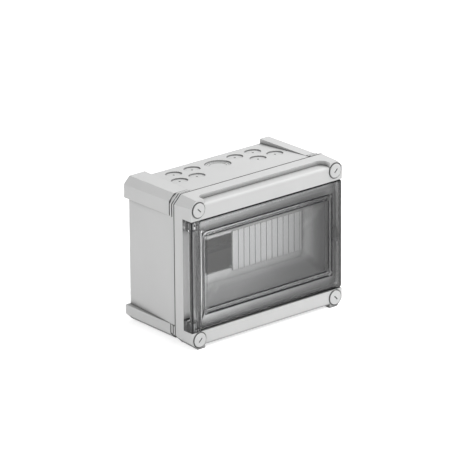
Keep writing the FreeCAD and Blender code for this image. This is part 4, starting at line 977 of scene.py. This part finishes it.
def buildFloor():
    size = studio["floorSize"] / 2
    tone = studio["floorTone"]
    mesh = bpy.data.meshes.new("floor")
    corners = [(-size, -size, 0), (size, -size, 0), (size, size, 0), (-size, size, 0)]
    mesh.from_pydata(corners, [], [(0, 1, 2, 3)])
    floor = bpy.data.objects.new("floor", mesh)
    scene.collection.objects.link(floor)
    material, tree, shader = newMaterial("paleFloor")
    shader.inputs["Base Color"].default_value = (tone, tone, tone, 1)
    shader.inputs["Roughness"].default_value = 0.9
    shader.inputs["Specular IOR Level"].default_value = 0.1
    shader.inputs["Emission Color"].default_value = (1, 1, 1, 1)
    glow = addNode(tree, "ShaderNodeMath", operation="MULTIPLY")
    glow.inputs[1].default_value = studio["floorGlow"]
    wire(
        tree,
        (seenByEye(tree), glow.inputs[0]),
        (glow.outputs[0], shader.inputs["Emission Strength"]),
    )
    mesh.materials.append(material)


def buildWorld():
    world = bpy.data.worlds.new("studio")
    world.use_nodes = True
    scene.world = world
    tree = world.node_tree
    backdrop = tree.nodes["Background"]
    backdrop.inputs["Color"].default_value = (1, 1, 1, 1)
    level = addNode(tree, "ShaderNodeMapRange")
    level.inputs["To Min"].default_value = studio["ambient"]
    wire(
        tree,
        (seenByEye(tree), level.inputs["Value"]),
        (level.outputs["Result"], backdrop.inputs["Strength"]),
    )


def addLamp(name, settings):
    lamp = bpy.data.lights.new(name, "AREA")
    lamp.energy = settings["power"]
    lamp.size = settings["size"]
    holder = bpy.data.objects.new(name, lamp)
    scene.collection.objects.link(holder)
    place = Vector(settings["place"])
    holder.location = place
    holder.rotation_mode = "QUATERNION"
    holder.rotation_quaternion = (Vector(studio["aim"]) - place).to_track_quat("-Z", "Y")


shot = {
    "azimuth": -40.07, "elevation": 20.04, "roll": -0.45, "lens": 346.2, "sensor": 36.0, "farthest": 100.0,
    "distance": 5358.1, "target": (-11.63, -4.3, 115.06),
}


def addCamera():
    # the photograph's view: long lens, a little left of the corner and above
    azimuth, elevation, roll = (math.radians(shot[key]) for key in ("azimuth", "elevation", "roll"))
    back = Vector((math.sin(azimuth) * math.cos(elevation), -math.cos(azimuth) * math.cos(elevation),
                   math.sin(elevation)))
    right = Vector((math.cos(azimuth), math.sin(azimuth), 0))
    up = back.cross(right)
    across = right * math.cos(roll) + up * math.sin(roll)
    above = up * math.cos(roll) - right * math.sin(roll)
    camera = bpy.data.objects.new("camera", bpy.data.cameras.new("camera"))
    scene.collection.objects.link(camera)
    camera.data.lens = shot["lens"]
    camera.data.sensor_width = shot["sensor"]
    camera.data.clip_end = shot["farthest"]
    turn = Matrix((across, above, back)).transposed().to_4x4()
    place = (Vector(shot["target"]) + back * shot["distance"]) * mm
    camera.matrix_world = Matrix.Translation(place) @ turn
    scene.camera = camera


buildFloor()
buildWorld()
for lampName, lampSettings in studio["lamps"].items():
    addLamp(lampName, lampSettings)
addCamera()
scene.view_settings.view_transform = "Standard"
print("stage, lamps and camera placed")
